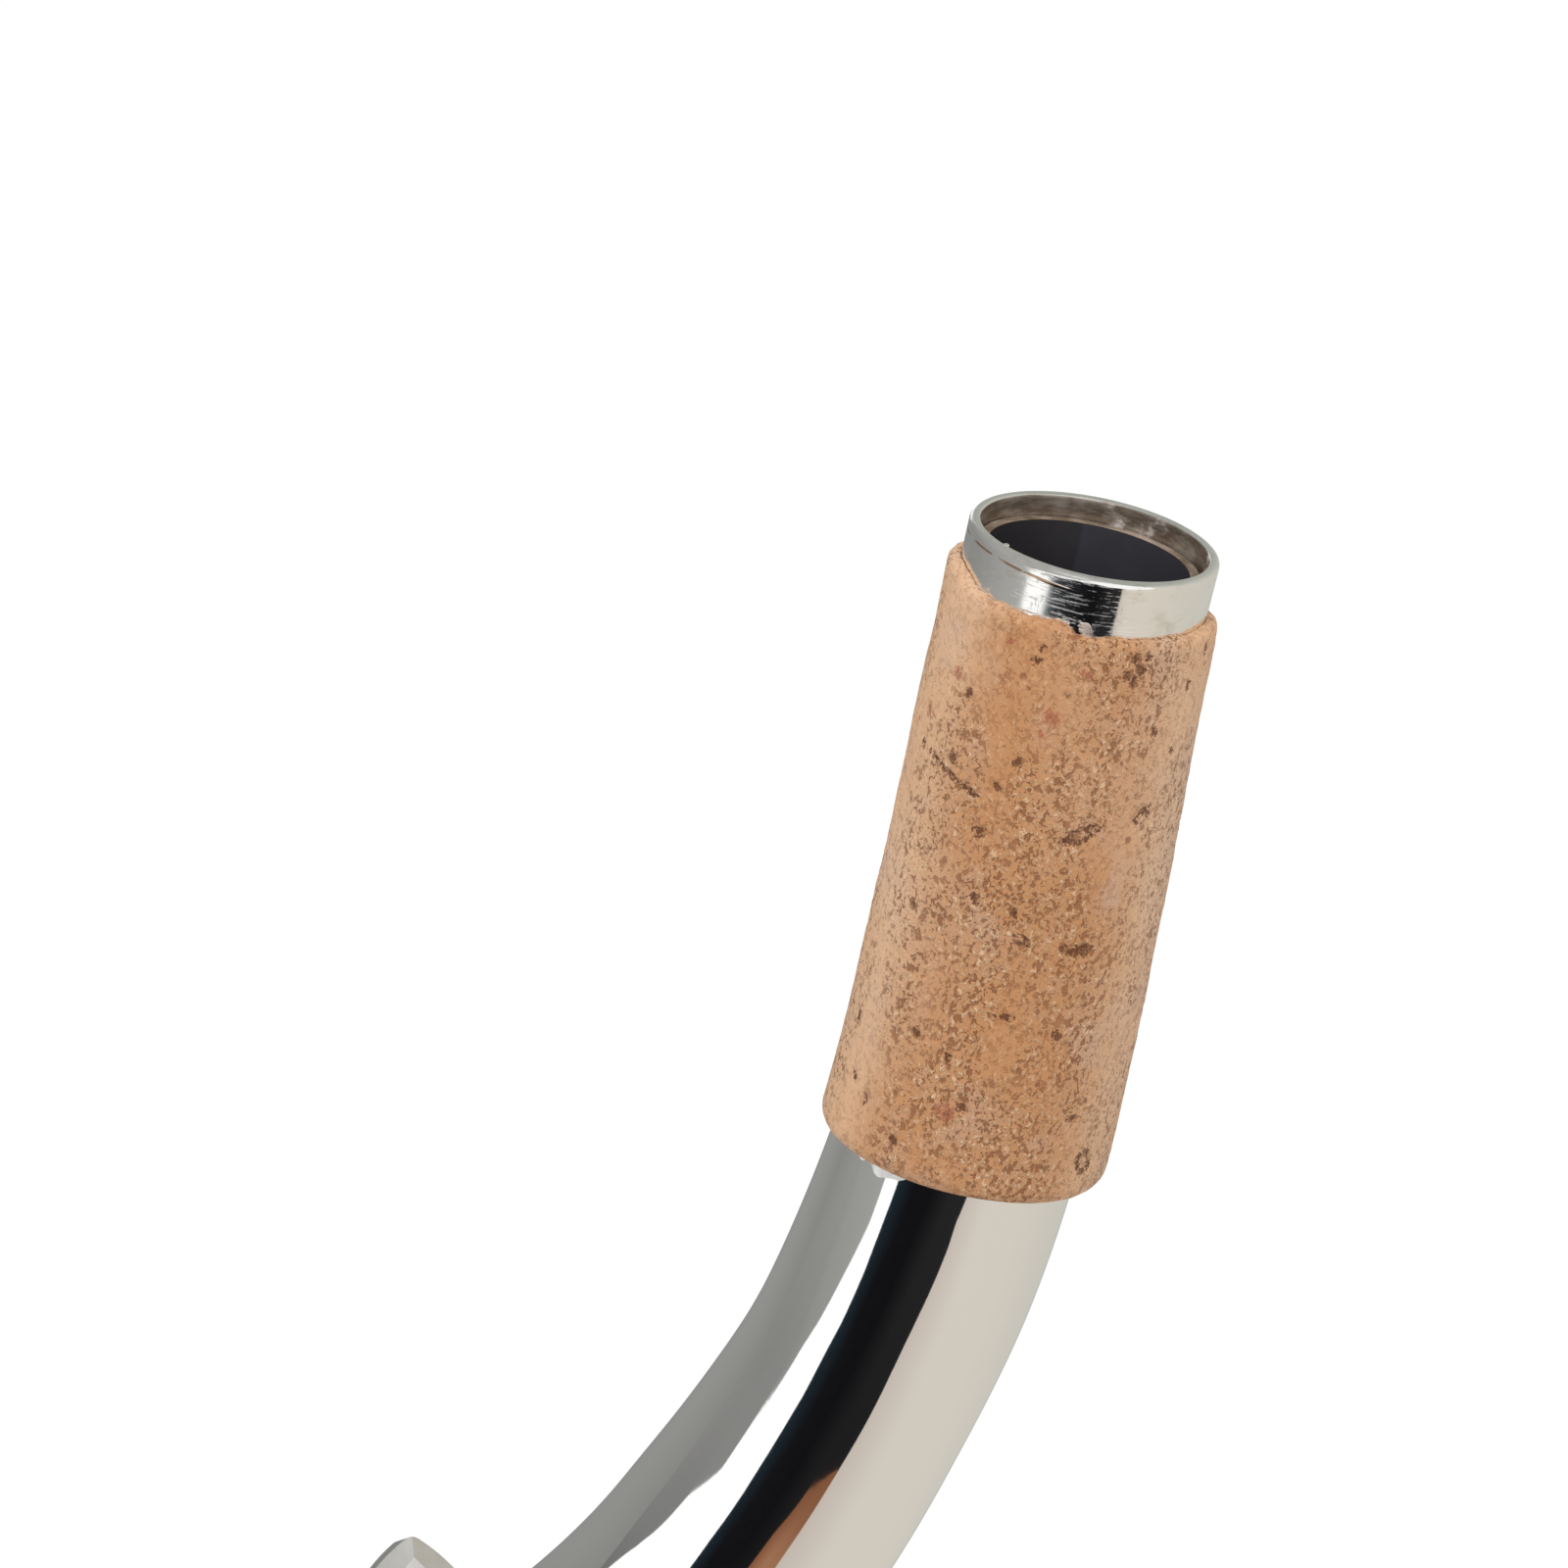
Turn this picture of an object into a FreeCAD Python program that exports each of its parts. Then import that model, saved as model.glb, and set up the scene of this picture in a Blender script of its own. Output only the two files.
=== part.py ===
import FreeCAD, Part
import os
import re
import Sketcher

# Alto saxophone neck with its octave key. Millimetres.
# The origin is on the tenon's axis at the shoulder that rests on the saxophone's body.
# Z points up out of the body, and the neck curves towards minus X, in the plane Y = 0.
# Places along the neck are called stations and are measured along its middle line from the lip of the tip ring.

SIZES = [
    # the bow of the neck, from the mouthpiece end down to the tenon
    ("mouth_straight", 28.2),
    ("upper_bend_radius", 77.0),
    ("upper_bend_angle", 25.2),
    ("middle_bend_radius", 164.0),
    ("middle_bend_angle", 26.2),
    ("lower_bend_radius", 60.0),
    ("lower_bend_angle", 16.5),
    ("lower_straight", 7.5),
    # the tube
    ("tube_wall", 0.6),
    ("tube_radius_mouth", 6.7),
    ("tube_radius_cork_end", 7.59),
    ("tube_radius_base", 11.0),
    ("tube_recess", 1.2),
    ("tube_end_gap", 0.1),
    ("solder_gap", 0.02),
    ("cut_overrun", 5.0),
    # the ring at the mouthpiece end
    ("ring_length", 4.0),
    ("ring_wall", 0.69),
    ("ring_lip_round", 0.45),
    ("ring_lip_corner_share", 0.3),
    ("ring_lip_inner_round", 0.2),
    # the cork
    ("cork_end", 39.6),
    ("cork_thickness_top", 1.48),
    ("cork_thickness_bottom", 1.4),
    ("cork_top_bevel", 0.45),
    ("cork_top_bevel_length", 0.7),
    ("cork_bottom_bevel", 1.0),
    ("cork_bottom_round", 0.3),
    ("cork_bottom_round_length", 1.0),
    ("cork_bottom_bevel_length", 2.2),
    ("cork_bend_share", 0.9),
    ("cork_lean_share", 0.5),
    # the tenon and its collar
    ("tenon_wall", 1.13),
    ("tenon_length", 18.0),
    ("tenon_lead_in", 0.5),
    ("tenon_lip_reach", 0.6),
    ("tenon_lip_length", 1.0),
    ("collar_foot", 1.65),
    ("collar_neck", 0.65),
    ("collar_bead", 0.95),
    ("collar_shoulder", 0.45),
    ("collar_rim", 0.9),
    ("collar_edge", 0.5),
    ("collar_foot_height", 1.9),
    ("collar_foot_slope", 0.8),
    ("collar_groove_height", 0.6),
    ("collar_groove_slope", 0.5),
    ("collar_bead_height", 1.2),
    ("collar_shoulder_slope", 0.9),
    ("collar_top_slope", 0.6),
    # the octave vent
    ("vent_bore_radius", 0.95),
    ("vent_wall", 1.05),
    ("vent_rim_reach", 0.5),
    ("vent_rim_height", 0.8),
    ("vent_rim_edge", 0.25),
    ("vent_depth", 2.1),
    ("vent_height", 3.9),
    ("saddle_flange", 2.6),
    ("saddle_thickness", 0.8),
    ("saddle_edge", 0.3),
    ("saddle_root_depth", 2.3),
    # the octave key: the loop stands clear of the collar, the hinge and then the vent lie further up the neck
    ("loop_rise", 23.84),
    ("loop_reach", 22.0),
    ("pad_reach", 24.0),
    # the hinge of the octave key
    ("hinge_height", 5.4),
    ("hinge_tube_wall", 0.97),
    ("hinge_clearance", 0.03),
    ("hinge_end_gap", 0.1),
    ("screw_radius", 1.3),
    ("screw_head_reach", 0.6),
    ("screw_head_length", 1.2),
    ("screw_slot_width", 0.5),
    ("screw_slot_depth", 0.6),
    ("screw_tail", 0.4),
    ("post_inset", 2.25),
    ("post_hole_clearance", 0.02),
    ("post_ball_wall", 1.2),
    ("post_ball_flat", 0.15),
    ("post_stem_radius", 1.45),
    ("post_foot_reach", 0.85),
    ("post_foot_height", 1.1),
    ("post_root_depth", 2.2),
    ("plate_thickness", 0.9),
    ("plate_length", 7.6),
    ("plate_margin", 1.9),
    # the pad and its cup
    ("pad_radius", 4.3),
    ("pad_thickness", 2.2),
    ("pad_edge", 0.35),
    ("cup_wall", 0.55),
    ("cup_clearance", 0.05),
    ("cup_skirt", 1.3),
    ("cup_top", 0.7),
    ("cup_bevel", 0.5),
    # the two bars of the key
    ("bar_width", 4.6),
    ("bar_ridge_width", 1.0),
    ("bar_side_height", 1.1),
    ("pad_bar_thickness", 2.2),
    ("pad_bar_drop", 1.05),
    ("pad_bar_nose", 3.6),
    ("loop_bar_drop", 1.65),
    ("loop_bar_thickness", 2.3),
    ("bar_root_overlap", 1.6),
    # the loop
    ("loop_width", 4.6),
    ("loop_clearance", 2.69),
    ("loop_bar", 1.9),
    ("loop_ridge", 0.5),
    ("loop_offset", 0.4),
    ("eye_side_offset", 0.7),
    ("eye_height", 4.85),
    ("eye_thickness", 2.4),
    ("eye_flank_radius", 15.0),
    ("eye_flank_shift", 7.5),
    ("eye_tip_radius", 1.0),
    ("eye_face_fall_share", 0.16),
    ("eye_hip_reach", 1.5),
    ("eye_hip_angle", 9.0),
    ("eye_notch_radius", 2.2),
    ("eye_wall", 2.6),
    # bumper, spring and spring screw
    ("bumper_thickness", 0.9),
    ("bumper_width", 4.4),
    ("bumper_length", 3.2),
    ("spring_width", 3.0),
    ("spring_thickness", 0.38),
    ("spring_root", 1.3),
    ("spring_screw_reach", 2.1),
    ("spring_flat", 4.3),
    ("spring_middle", 5.0),
    ("spring_middle_drop", 1.3),
    ("spring_tip_reach", 17.2),
    ("spring_seat", 0.02),
    ("spring_screw_radius", 0.7),
    ("spring_screw_head_radius", 1.25),
    ("spring_screw_head_length", 0.7),
    ("spring_screw_length", 2.1),
    ("spring_hole_clearance", 0.03),
]

# places of the tube's cross-sections in the straight piece at its mouth
STRAIGHT_SHARES = (0.2, 0.6, 1.0)

NODES = {}


class SizeSheet:
    """The spreadsheet that holds every size, one named cell to a row."""

    def __init__(self, doc):
        self.sheet = doc.addObject("Spreadsheet::Sheet", "sizes")
        self.names = set()
        self.row = 0

    def put(self, name, content):
        self.row += 1
        self.sheet.set("A%d" % self.row, name)
        self.sheet.set("B%d" % self.row, content)
        self.sheet.setAlias("B%d" % self.row, name)
        self.names.add(name)

    def bound(self, text):
        """Point every size named in an expression at its cell."""
        return re.sub(r"[a-z][a-z_0-9]*", lambda word: self.cell(word.group(0)), text)

    def cell(self, word):
        return "sizes." + word if word in self.names else word


def fill_sizes(sizes):
    for name, value in SIZES:
        sizes.put(name, str(value))
    for bend in ("upper", "middle", "lower"):
        sizes.put(bend + "_bend_length", "=%s_bend_radius * %s_bend_angle * pi / 180" % (bend, bend))
    sizes.put("upper_start", "=mouth_straight")
    sizes.put("middle_start", "=upper_start + upper_bend_length")
    sizes.put("lower_start", "=middle_start + middle_bend_length")
    sizes.put("base_start", "=lower_start + lower_bend_length")
    sizes.put("neck_length", "=base_start + lower_straight")
    sizes.put("whole_turn", "=upper_bend_angle + middle_bend_angle + lower_bend_angle")
    put_tenon_sizes(sizes)
    put_key_sizes(sizes)


def put_tenon_sizes(sizes):
    """The tenon and collar are turned to fit over the tube's large end."""
    sizes.put("sleeve_bore_radius", "=tube_radius_base + solder_gap")
    sizes.put("tenon_radius", "=sleeve_bore_radius + tenon_wall")
    sizes.put("tenon_lip_radius", "=tube_radius_base - tenon_lip_reach")
    sizes.put("tube_tail", "=tenon_length - tenon_lip_length - tube_end_gap")
    sizes.put("collar_foot_radius", "=tenon_radius + collar_foot")
    sizes.put("collar_neck_radius", "=tenon_radius + collar_neck")
    sizes.put("collar_bead_radius", "=tenon_radius + collar_bead")
    sizes.put("collar_shoulder_radius", "=tenon_radius + collar_shoulder")
    sizes.put("collar_rim_radius", "=tube_radius_base + collar_rim")
    sizes.put("collar_groove_low", "=collar_foot_height + collar_foot_slope")
    sizes.put("collar_groove_high", "=collar_groove_low + collar_groove_height")
    sizes.put("collar_bead_low", "=collar_groove_high + collar_groove_slope")
    sizes.put("collar_bead_high", "=collar_bead_low + collar_bead_height")
    sizes.put("collar_shoulder_height", "=collar_bead_high + collar_shoulder_slope")
    sizes.put("collar_height", "=collar_shoulder_height + collar_top_slope")


def put_key_sizes(sizes):
    """Radii that nest inside each other in the vent, the pad cup and the hinge."""
    sizes.put("vent_radius", "=vent_bore_radius + vent_wall")
    sizes.put("vent_rim_radius", "=vent_radius + vent_rim_reach")
    sizes.put("saddle_radius", "=vent_radius + saddle_flange")
    sizes.put("cup_bore_radius", "=pad_radius + cup_clearance")
    sizes.put("cup_radius", "=cup_bore_radius + cup_wall")
    sizes.put("hinge_bore_radius", "=screw_radius + hinge_clearance")
    sizes.put("hinge_tube_radius", "=hinge_bore_radius + hinge_tube_wall")
    sizes.put("screw_head_radius", "=screw_radius + screw_head_reach")
    sizes.put("post_hole_radius", "=screw_radius + post_hole_clearance")
    sizes.put("post_ball_radius", "=screw_radius + post_ball_wall")
    sizes.put("post_foot_radius", "=post_stem_radius + post_foot_reach")
    sizes.put("post_ball_reach", "=post_ball_radius - post_ball_flat")


def put_station(sizes, name, distance):
    """Write the place, turn and tube radius of one station, measured from the lip."""
    sizes.put(name + "_s", "=" + distance)
    sizes.put(name + "_low", "=min(neck_length - NAME_s; lower_straight)".replace("NAME", name))
    low_turn = "=min(max(base_start - NAME_s; 0); lower_bend_length) / lower_bend_radius * 180 / pi"
    mid_turn = "=min(max(lower_start - NAME_s; 0); middle_bend_length) / middle_bend_radius * 180 / pi"
    top_turn = "=min(max(middle_start - NAME_s; 0); upper_bend_length) / upper_bend_radius * 180 / pi"
    sizes.put(name + "_first", low_turn.replace("NAME", name))
    sizes.put(name + "_second", (mid_turn + " + NAME_first").replace("NAME", name))
    sizes.put(name + "_turn", (top_turn + " + NAME_second").replace("NAME", name))
    sizes.put(name + "_rest", "=max(upper_start - NAME_s; 0)".replace("NAME", name))
    across = (
        "=0 - lower_bend_radius * (1 - cos(NAME_first))"
        " - middle_bend_radius * (cos(NAME_first) - cos(NAME_second))"
        " - upper_bend_radius * (cos(NAME_second) - cos(NAME_turn)) - NAME_rest * sin(NAME_turn)"
    )
    upwards = (
        "=NAME_low + lower_bend_radius * sin(NAME_first)"
        " + middle_bend_radius * (sin(NAME_second) - sin(NAME_first))"
        " + upper_bend_radius * (sin(NAME_turn) - sin(NAME_second)) + NAME_rest * cos(NAME_turn)"
    )
    radius = (
        "=tube_radius_mouth"
        " + (tube_radius_cork_end - tube_radius_mouth) * min(NAME_s; cork_end) / cork_end"
        " + (tube_radius_base - tube_radius_cork_end)"
        " * max(min(NAME_s; base_start) - cork_end; 0) / (base_start - cork_end)"
    )
    sizes.put(name + "_x", across.replace("NAME", name))
    sizes.put(name + "_z", upwards.replace("NAME", name))
    sizes.put(name + "_tube", radius.replace("NAME", name))


def along(name, shift=None):
    """A place on the neck whose own Z runs along the tube towards the lip, and X away from the bow's inside."""
    place = "placement(vector(NAME_x; 0; NAME_z); rotation(vector(0; 1; 0); 0 - NAME_turn))".replace("NAME", name)
    return place + shifted(shift)


def upright(name, shift=None):
    """A place on the neck whose own Z stands up from the outside of the bow, and X runs towards the tenon."""
    place = "placement(vector(NAME_x; 0; NAME_z); rotation(vector(0; 1; 0); 90 - NAME_turn))".replace("NAME", name)
    return place + shifted(shift)


def shifted(shift, axis="0; 1; 0", angle="0"):
    """A further move and turn, in the place's own directions."""
    if not shift:
        return ""
    return " * placement(vector(%s; %s; %s); rotation(vector(%s); %s))" % (shift + (axis, angle))


class Shop:
    """Makes the features of one document, all driven by its size sheet."""

    def __init__(self, doc, sizes):
        self.doc = doc
        self.sizes = sizes

    def bind(self, feature, prop, text):
        feature.setExpression(prop, self.sizes.bound(text))

    def place(self, feature, placement):
        if placement:
            self.bind(feature, "Placement", placement)
        return feature

    def circle(self, name, radius, placement):
        feature = self.doc.addObject("Part::Circle", name)
        self.bind(feature, "Radius", radius)
        return self.place(feature, placement)

    def cylinder(self, name, radius, height, placement=None):
        feature = self.doc.addObject("Part::Cylinder", name)
        self.bind(feature, "Radius", radius)
        self.bind(feature, "Height", height)
        return self.place(feature, placement)

    def box(self, name, size, placement=None):
        feature = self.doc.addObject("Part::Box", name)
        self.bind(feature, "Length", size[0])
        self.bind(feature, "Width", size[1])
        self.bind(feature, "Height", size[2])
        return self.place(feature, placement)

    def ball(self, name, radius, placement=None):
        feature = self.doc.addObject("Part::Sphere", name)
        self.bind(feature, "Radius", radius)
        return self.place(feature, placement)

    def outline(self, name, corners, placement=None):
        """A closed sketch of straight lines through the corners."""
        sketch = self.doc.addObject("Sketcher::SketchObject", name)
        count = len(corners)
        start = [FreeCAD.Vector(place % 3 + place, place * place, 0) for place in range(count)]
        for place in range(count):
            sketch.addGeometry(Part.LineSegment(start[place], start[(place + 1) % count]))
        for place in range(count):
            sketch.addConstraint(Sketcher.Constraint("Coincident", place, 2, (place + 1) % count, 1))
        for place, corner in enumerate(corners):
            for kind, text, value in zip(("DistanceX", "DistanceY"), corner, start[place]):
                index = sketch.addConstraint(Sketcher.Constraint(kind, -1, 1, place, 1, value))
                self.bind(sketch, "Constraints[%d]" % index, text)
        return self.place(sketch, placement)

    def turned(self, name, corners, placement=None):
        """A turned piece: corners are radius and height, the axis is its own Z."""
        sketch = self.outline(name + "_profile", corners)
        sketch.Placement = FreeCAD.Placement(FreeCAD.Vector(), FreeCAD.Rotation(FreeCAD.Vector(1, 0, 0), 90))
        feature = self.doc.addObject("Part::Revolution", name)
        feature.Source = sketch
        feature.Axis = FreeCAD.Vector(0, 0, 1)
        feature.Base = FreeCAD.Vector(0, 0, 0)
        feature.Angle = 360
        feature.Solid = True
        return self.place(feature, placement)

    def loft(self, name, sections, ruled=False):
        feature = self.doc.addObject("Part::Loft", name)
        feature.Sections = sections
        feature.Solid = True
        feature.Ruled = ruled
        return feature

    def cut(self, name, base, tool):
        feature = self.doc.addObject("Part::Cut", name)
        feature.Base = base
        feature.Tool = tool
        return feature

    def common(self, name, base, tool):
        feature = self.doc.addObject("Part::Common", name)
        feature.Base = base
        feature.Tool = tool
        return feature

    def fuse(self, name, shapes):
        feature = self.doc.addObject("Part::MultiFuse", name)
        feature.Shapes = shapes
        return feature


def finished(name, feature):
    """Mark a feature as one of the neck's separate pieces."""
    feature.Label = name
    NODES[name] = feature
    return feature


def tube_places(sizes):
    """Stations for the tube's cross-sections, close together in the bends."""
    places = ["tube_recess"]
    places += ["mouth_straight * %s" % share for share in STRAIGHT_SHARES]
    places += ["upper_start + upper_bend_length * %d / 4" % step for step in range(1, 5)]
    places += ["middle_start + middle_bend_length * %d / 6" % step for step in range(1, 7)]
    places += ["lower_start + lower_bend_length * %d / 3" % step for step in range(1, 4)]
    names = []
    for number, place in enumerate(places):
        name = "tube%s" % "abcdefghijklmnopqrstuvwxyz"[number]
        put_station(sizes, name, place)
        names.append(name)
    return names


def tube_solid(shop, name, names, inset):
    """The tube's outside, or its bore when inset is the wall."""
    sections = []
    for place in names:
        sections.append(shop.circle(name + "_at_" + place, place + "_tube - " + inset, along(place)))
    bow = shop.loft(name + "_bow", sections)
    tail = shop.cylinder(
        name + "_tail",
        "tube_radius_base - " + inset,
        "tube_tail + lower_straight",
        "placement(vector(0; 0; 0 - tube_tail); rotation(vector(0; 1; 0); 0))",
    )
    return shop.fuse(name, [bow, tail])


def neck_tube(shop, names):
    outside = tube_solid(shop, "tube_outside", names, "0")
    bore = tube_solid(shop, "tube_bore", names, "tube_wall")
    hollow = shop.cut("tube_hollow", outside, bore)
    hole = shop.cylinder("vent_hole", "vent_radius + solder_gap", "vent_tube + vent_height", upright("vent"))
    finished("neck_tube", shop.cut("neck_tube", hollow, hole))
    return outside


def tip_ring(shop):
    """Ring around the tube's end, its rounded lip stands a little past the tube's own edge."""
    foot = "0 - ring_length"
    bore = "corka_tube + solder_gap"
    outside = bore + " + ring_wall"
    corner = "ring_lip_round * ring_lip_corner_share"
    corners = [
        (bore, foot),
        (outside, foot),
        (outside, "0 - ring_lip_round"),
        (outside + " - " + corner, "0 - " + corner),
        (outside + " - ring_lip_round", "0"),
        (bore + " + ring_lip_inner_round", "0"),
        (bore, "0 - ring_lip_inner_round"),
    ]
    finished("tip_ring", shop.turned("tip_ring", corners, along("lip")))


def cork_place(name):
    """The cork is sanded straighter than the tube bends, so it leans between the two."""
    text = (
        "placement(vector("
        "(1 - cork_lean_share) * (lip_x + NAME_s * sin(whole_turn)) + cork_lean_share * NAME_x; 0; "
        "(1 - cork_lean_share) * (lip_z - NAME_s * cos(whole_turn)) + cork_lean_share * NAME_z); "
        "rotation(vector(0; 1; 0); 0 - (1 - cork_lean_share) * whole_turn - cork_lean_share * NAME_turn))"
    )
    return text.replace("NAME", name)


def neck_cork(shop, outside):
    """Cork sheet wrapped around the tube, bevelled at the ring and rounded at its lower end."""
    sheet = "cork_thickness_top + (cork_thickness_bottom - cork_thickness_top) * NAME_s / cork_end"
    taper = "NAME_tube + " + sheet
    trims = [
        ("corka", "cork_top_bevel"),
        ("corkb", "0"),
        ("corkc", "0"),
        ("corkd", "0"),
        ("corke", "0"),
        ("corkf", "cork_bottom_round"),
        ("corkg", "cork_bottom_bevel"),
    ]
    sections = []
    for name, trim in trims:
        radius = taper.replace("NAME", name) + " - " + trim
        sections.append(shop.circle("cork_at_" + name, radius, cork_place(name)))
    sleeve = shop.loft("cork_sleeve", sections, ruled=True)
    finished("neck_cork", shop.cut("neck_cork", sleeve, outside))


def tenon(shop):
    """Sleeve soldered over the tube's large end, with a small inner lip that the tube's edge rests on."""
    bore = "sleeve_bore_radius"
    foot = "0 - tenon_length"
    corners = [
        ("tenon_lip_radius", foot),
        ("tenon_radius - tenon_lead_in", foot),
        ("tenon_radius", foot + " + tenon_lead_in"),
        ("tenon_radius", "0"),
        (bore, "0"),
        (bore, foot + " + tenon_lip_length"),
        ("tenon_lip_radius", foot + " + tenon_lip_length"),
    ]
    finished("tenon", shop.turned("tenon", corners))


def tenon_collar(shop):
    """Turned collar with a foot, a groove and a bead. Its underside is the shoulder."""
    bore = "sleeve_bore_radius"
    corners = [
        (bore, "0"),
        ("collar_foot_radius - collar_edge", "0"),
        ("collar_foot_radius", "collar_edge"),
        ("collar_foot_radius", "collar_foot_height"),
        ("collar_neck_radius", "collar_groove_low"),
        ("collar_neck_radius", "collar_groove_high"),
        ("collar_bead_radius", "collar_bead_low"),
        ("collar_bead_radius", "collar_bead_high"),
        ("collar_shoulder_radius", "collar_shoulder_height"),
        ("collar_rim_radius", "collar_height"),
        (bore, "collar_height"),
    ]
    finished("tenon_collar", shop.turned("tenon_collar", corners))


def vent_pip(shop):
    """Small turned vent tube through the wall, with a rounded rim that the pad closes."""
    top = "vent_tube + vent_height"
    saddle_top = "vent_tube + saddle_thickness"
    corners = [
        ("vent_bore_radius", "vent_tube - vent_depth"),
        ("vent_radius", "vent_tube - vent_depth"),
        ("vent_radius", saddle_top + " + solder_gap"),
        ("vent_rim_radius", saddle_top + " + solder_gap + vent_rim_height"),
        ("vent_radius", top + " - vent_rim_height"),
        ("vent_rim_radius", top + " - vent_rim_edge"),
        ("vent_rim_radius - vent_rim_edge", top),
        ("vent_bore_radius", top),
    ]
    finished("vent_pip", shop.turned("vent_pip", corners, upright("vent")))


def vent_saddle(shop, outside):
    """Washer soldered around the vent pip, hollowed underneath to sit on the tube."""
    top = "vent_tube + saddle_thickness"
    corners = [
        ("vent_radius + solder_gap", "vent_tube - saddle_root_depth"),
        ("saddle_radius", "vent_tube - saddle_root_depth"),
        ("saddle_radius", top + " - saddle_edge"),
        ("saddle_radius - saddle_edge", top),
        ("vent_radius + solder_gap", top),
    ]
    washer = shop.turned("saddle_washer", corners, upright("vent"))
    finished("vent_saddle", shop.cut("vent_saddle", washer, outside))


def post_saddle(shop, outside):
    """Curved plate under both hinge posts, soldered on the outside of the bow."""
    block = shop.box("plate_block", ("plate_length", "plate_half_width * 2", "hinge_tube + plate_thickness"))
    shop.place(block, upright("hinge", ("0 - plate_length / 2", "0 - plate_half_width", "0")))
    shell = shop.cylinder(
        "plate_shell",
        "hinge_tube + plate_thickness",
        "plate_length * 2",
        along("hinge", ("0", "0", "0 - plate_length")),
    )
    arched = shop.common("plate_arch", block, shell)
    finished("post_saddle", shop.cut("post_saddle", arched, outside))
    return shell


def hinge_posts(shop, shell):
    """Two turned posts with ball heads, cross-drilled for the pivot screw."""
    root = "hinge_tube - post_root_depth - plate_thickness - plate_thickness"
    foot = "sqrt(pow(hinge_tube + plate_thickness; 2) - pow(post_offset; 2)) + post_foot_height"
    middle = "hinge_tube + hinge_height"
    corners = [
        ("0", root),
        ("post_foot_radius", root),
        ("post_foot_radius", foot),
        ("post_stem_radius", foot + " + post_foot_height"),
        ("post_stem_radius", middle),
        ("0", middle),
    ]
    for side, offset in (("left", "0 - post_offset"), ("right", "post_offset")):
        stem = shop.turned("post_stem_" + side, corners, upright("hinge", ("0", offset, "0")))
        ball = shop.ball("post_ball_" + side, "post_ball_radius", upright("hinge", ("0", offset, middle)))
        size = ("post_ball_radius * 4", "post_ball_reach * 2", middle + " + post_ball_radius * 2")
        corner = ("0 - post_ball_radius * 2", offset + " - post_ball_reach", "0")
        trim = shop.box("post_trim_" + side, size, upright("hinge", corner))
        blank = shop.fuse("post_blank_" + side, [stem, ball])
        flat = shop.common("post_flat_" + side, blank, trim)
        seated = shop.cut("post_seated_" + side, flat, shell)
        start = across_hinge("0 - post_offset * 2")
        drill = shop.cylinder("post_drill_" + side, "post_hole_radius", "post_offset * 4", start)
        finished("hinge_post_" + side, shop.cut("hinge_post_" + side, seated, drill))


def across_hinge(start):
    """A place on the pivot's axis whose own Z runs across the neck, towards plus Y."""
    return upright("hinge") + shifted(("0", start, "hinge_tube + hinge_height"), "1; 0; 0", "0 - 90")


def hinge_screw(shop):
    """Slotted pivot screw, its head outside the left post."""
    head = "0 - screw_head_length"
    length = "(post_offset + post_ball_reach) * 2 + screw_tail"
    corners = [
        ("0", head),
        ("screw_head_radius", head),
        ("screw_head_radius", "0"),
        ("screw_radius", "0"),
        ("screw_radius", length),
        ("0", length),
    ]
    start = across_hinge("0 - post_offset - post_ball_reach")
    blank = shop.turned("screw_blank", corners, start)
    corner = ("0 - screw_slot_width / 2", "0 - screw_head_radius * 2", head + " - screw_slot_depth")
    slot = shop.box(
        "screw_slot",
        ("screw_slot_width", "screw_head_radius * 4", "screw_slot_depth * 2"),
        start + shifted(corner),
    )
    finished("hinge_screw", shop.cut("hinge_screw", blank, slot))


def hinge_tube(shop):
    """Short tube of the key that runs on the pivot screw between the posts."""
    length = "(post_offset - post_ball_reach - hinge_end_gap) * 2"
    corners = [
        ("hinge_bore_radius", "0"),
        ("hinge_tube_radius", "0"),
        ("hinge_tube_radius", length),
        ("hinge_bore_radius", length),
    ]
    start = "0 - post_offset + post_ball_reach + hinge_end_gap"
    finished("hinge_tube", shop.turned("hinge_tube", corners, across_hinge(start)))


def ridge_section(shop, name, place, height, thickness):
    """Cross-section of a ridge-backed bar: flat underneath, with two sloping backs."""
    half = "bar_width / 2"
    ridge = "bar_ridge_width / 2"
    corners = [
        (height, "0 - " + half),
        (height, half),
        (height + " + bar_side_height", half),
        (height + " + " + thickness, ridge),
        (height + " + " + thickness, "0 - " + ridge),
        (height + " + bar_side_height", "0 - " + half),
    ]
    return shop.outline(name, corners, place)


def rooted(shop, name, bar):
    """A bar with its root hollowed out to fit around the hinge tube."""
    start = across_hinge("0 - post_offset")
    barrel = shop.cylinder(name + "_barrel", "hinge_tube_radius", "post_offset * 2", start)
    return shop.cut(name, bar, barrel)


def pad_arm(shop):
    """Bar from the hinge tube to the pad cup, following the bow of the neck and flat on the cup."""
    root_height = "hinge_tube + hinge_height - pad_bar_drop"
    cup_height = "vent_tube + vent_height + pad_thickness + cup_top"
    places = [
        ("root", along("armroot"), root_height),
        ("middle", along("armmid"), "(%s + %s) / 2" % (root_height, cup_height)),
        ("cup", along("vent", ("0", "0", "0 - cup_radius")), cup_height),
        ("nose", along("vent", ("0", "0", "pad_bar_nose")), cup_height),
    ]
    sections = []
    for name, place, height in places:
        sections.append(ridge_section(shop, "pad_arm_" + name, place, height, "pad_bar_thickness"))
    bar = shop.loft("pad_arm_bar", sections, ruled=True)
    finished("pad_arm", rooted(shop, "pad_arm", bar))


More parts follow.
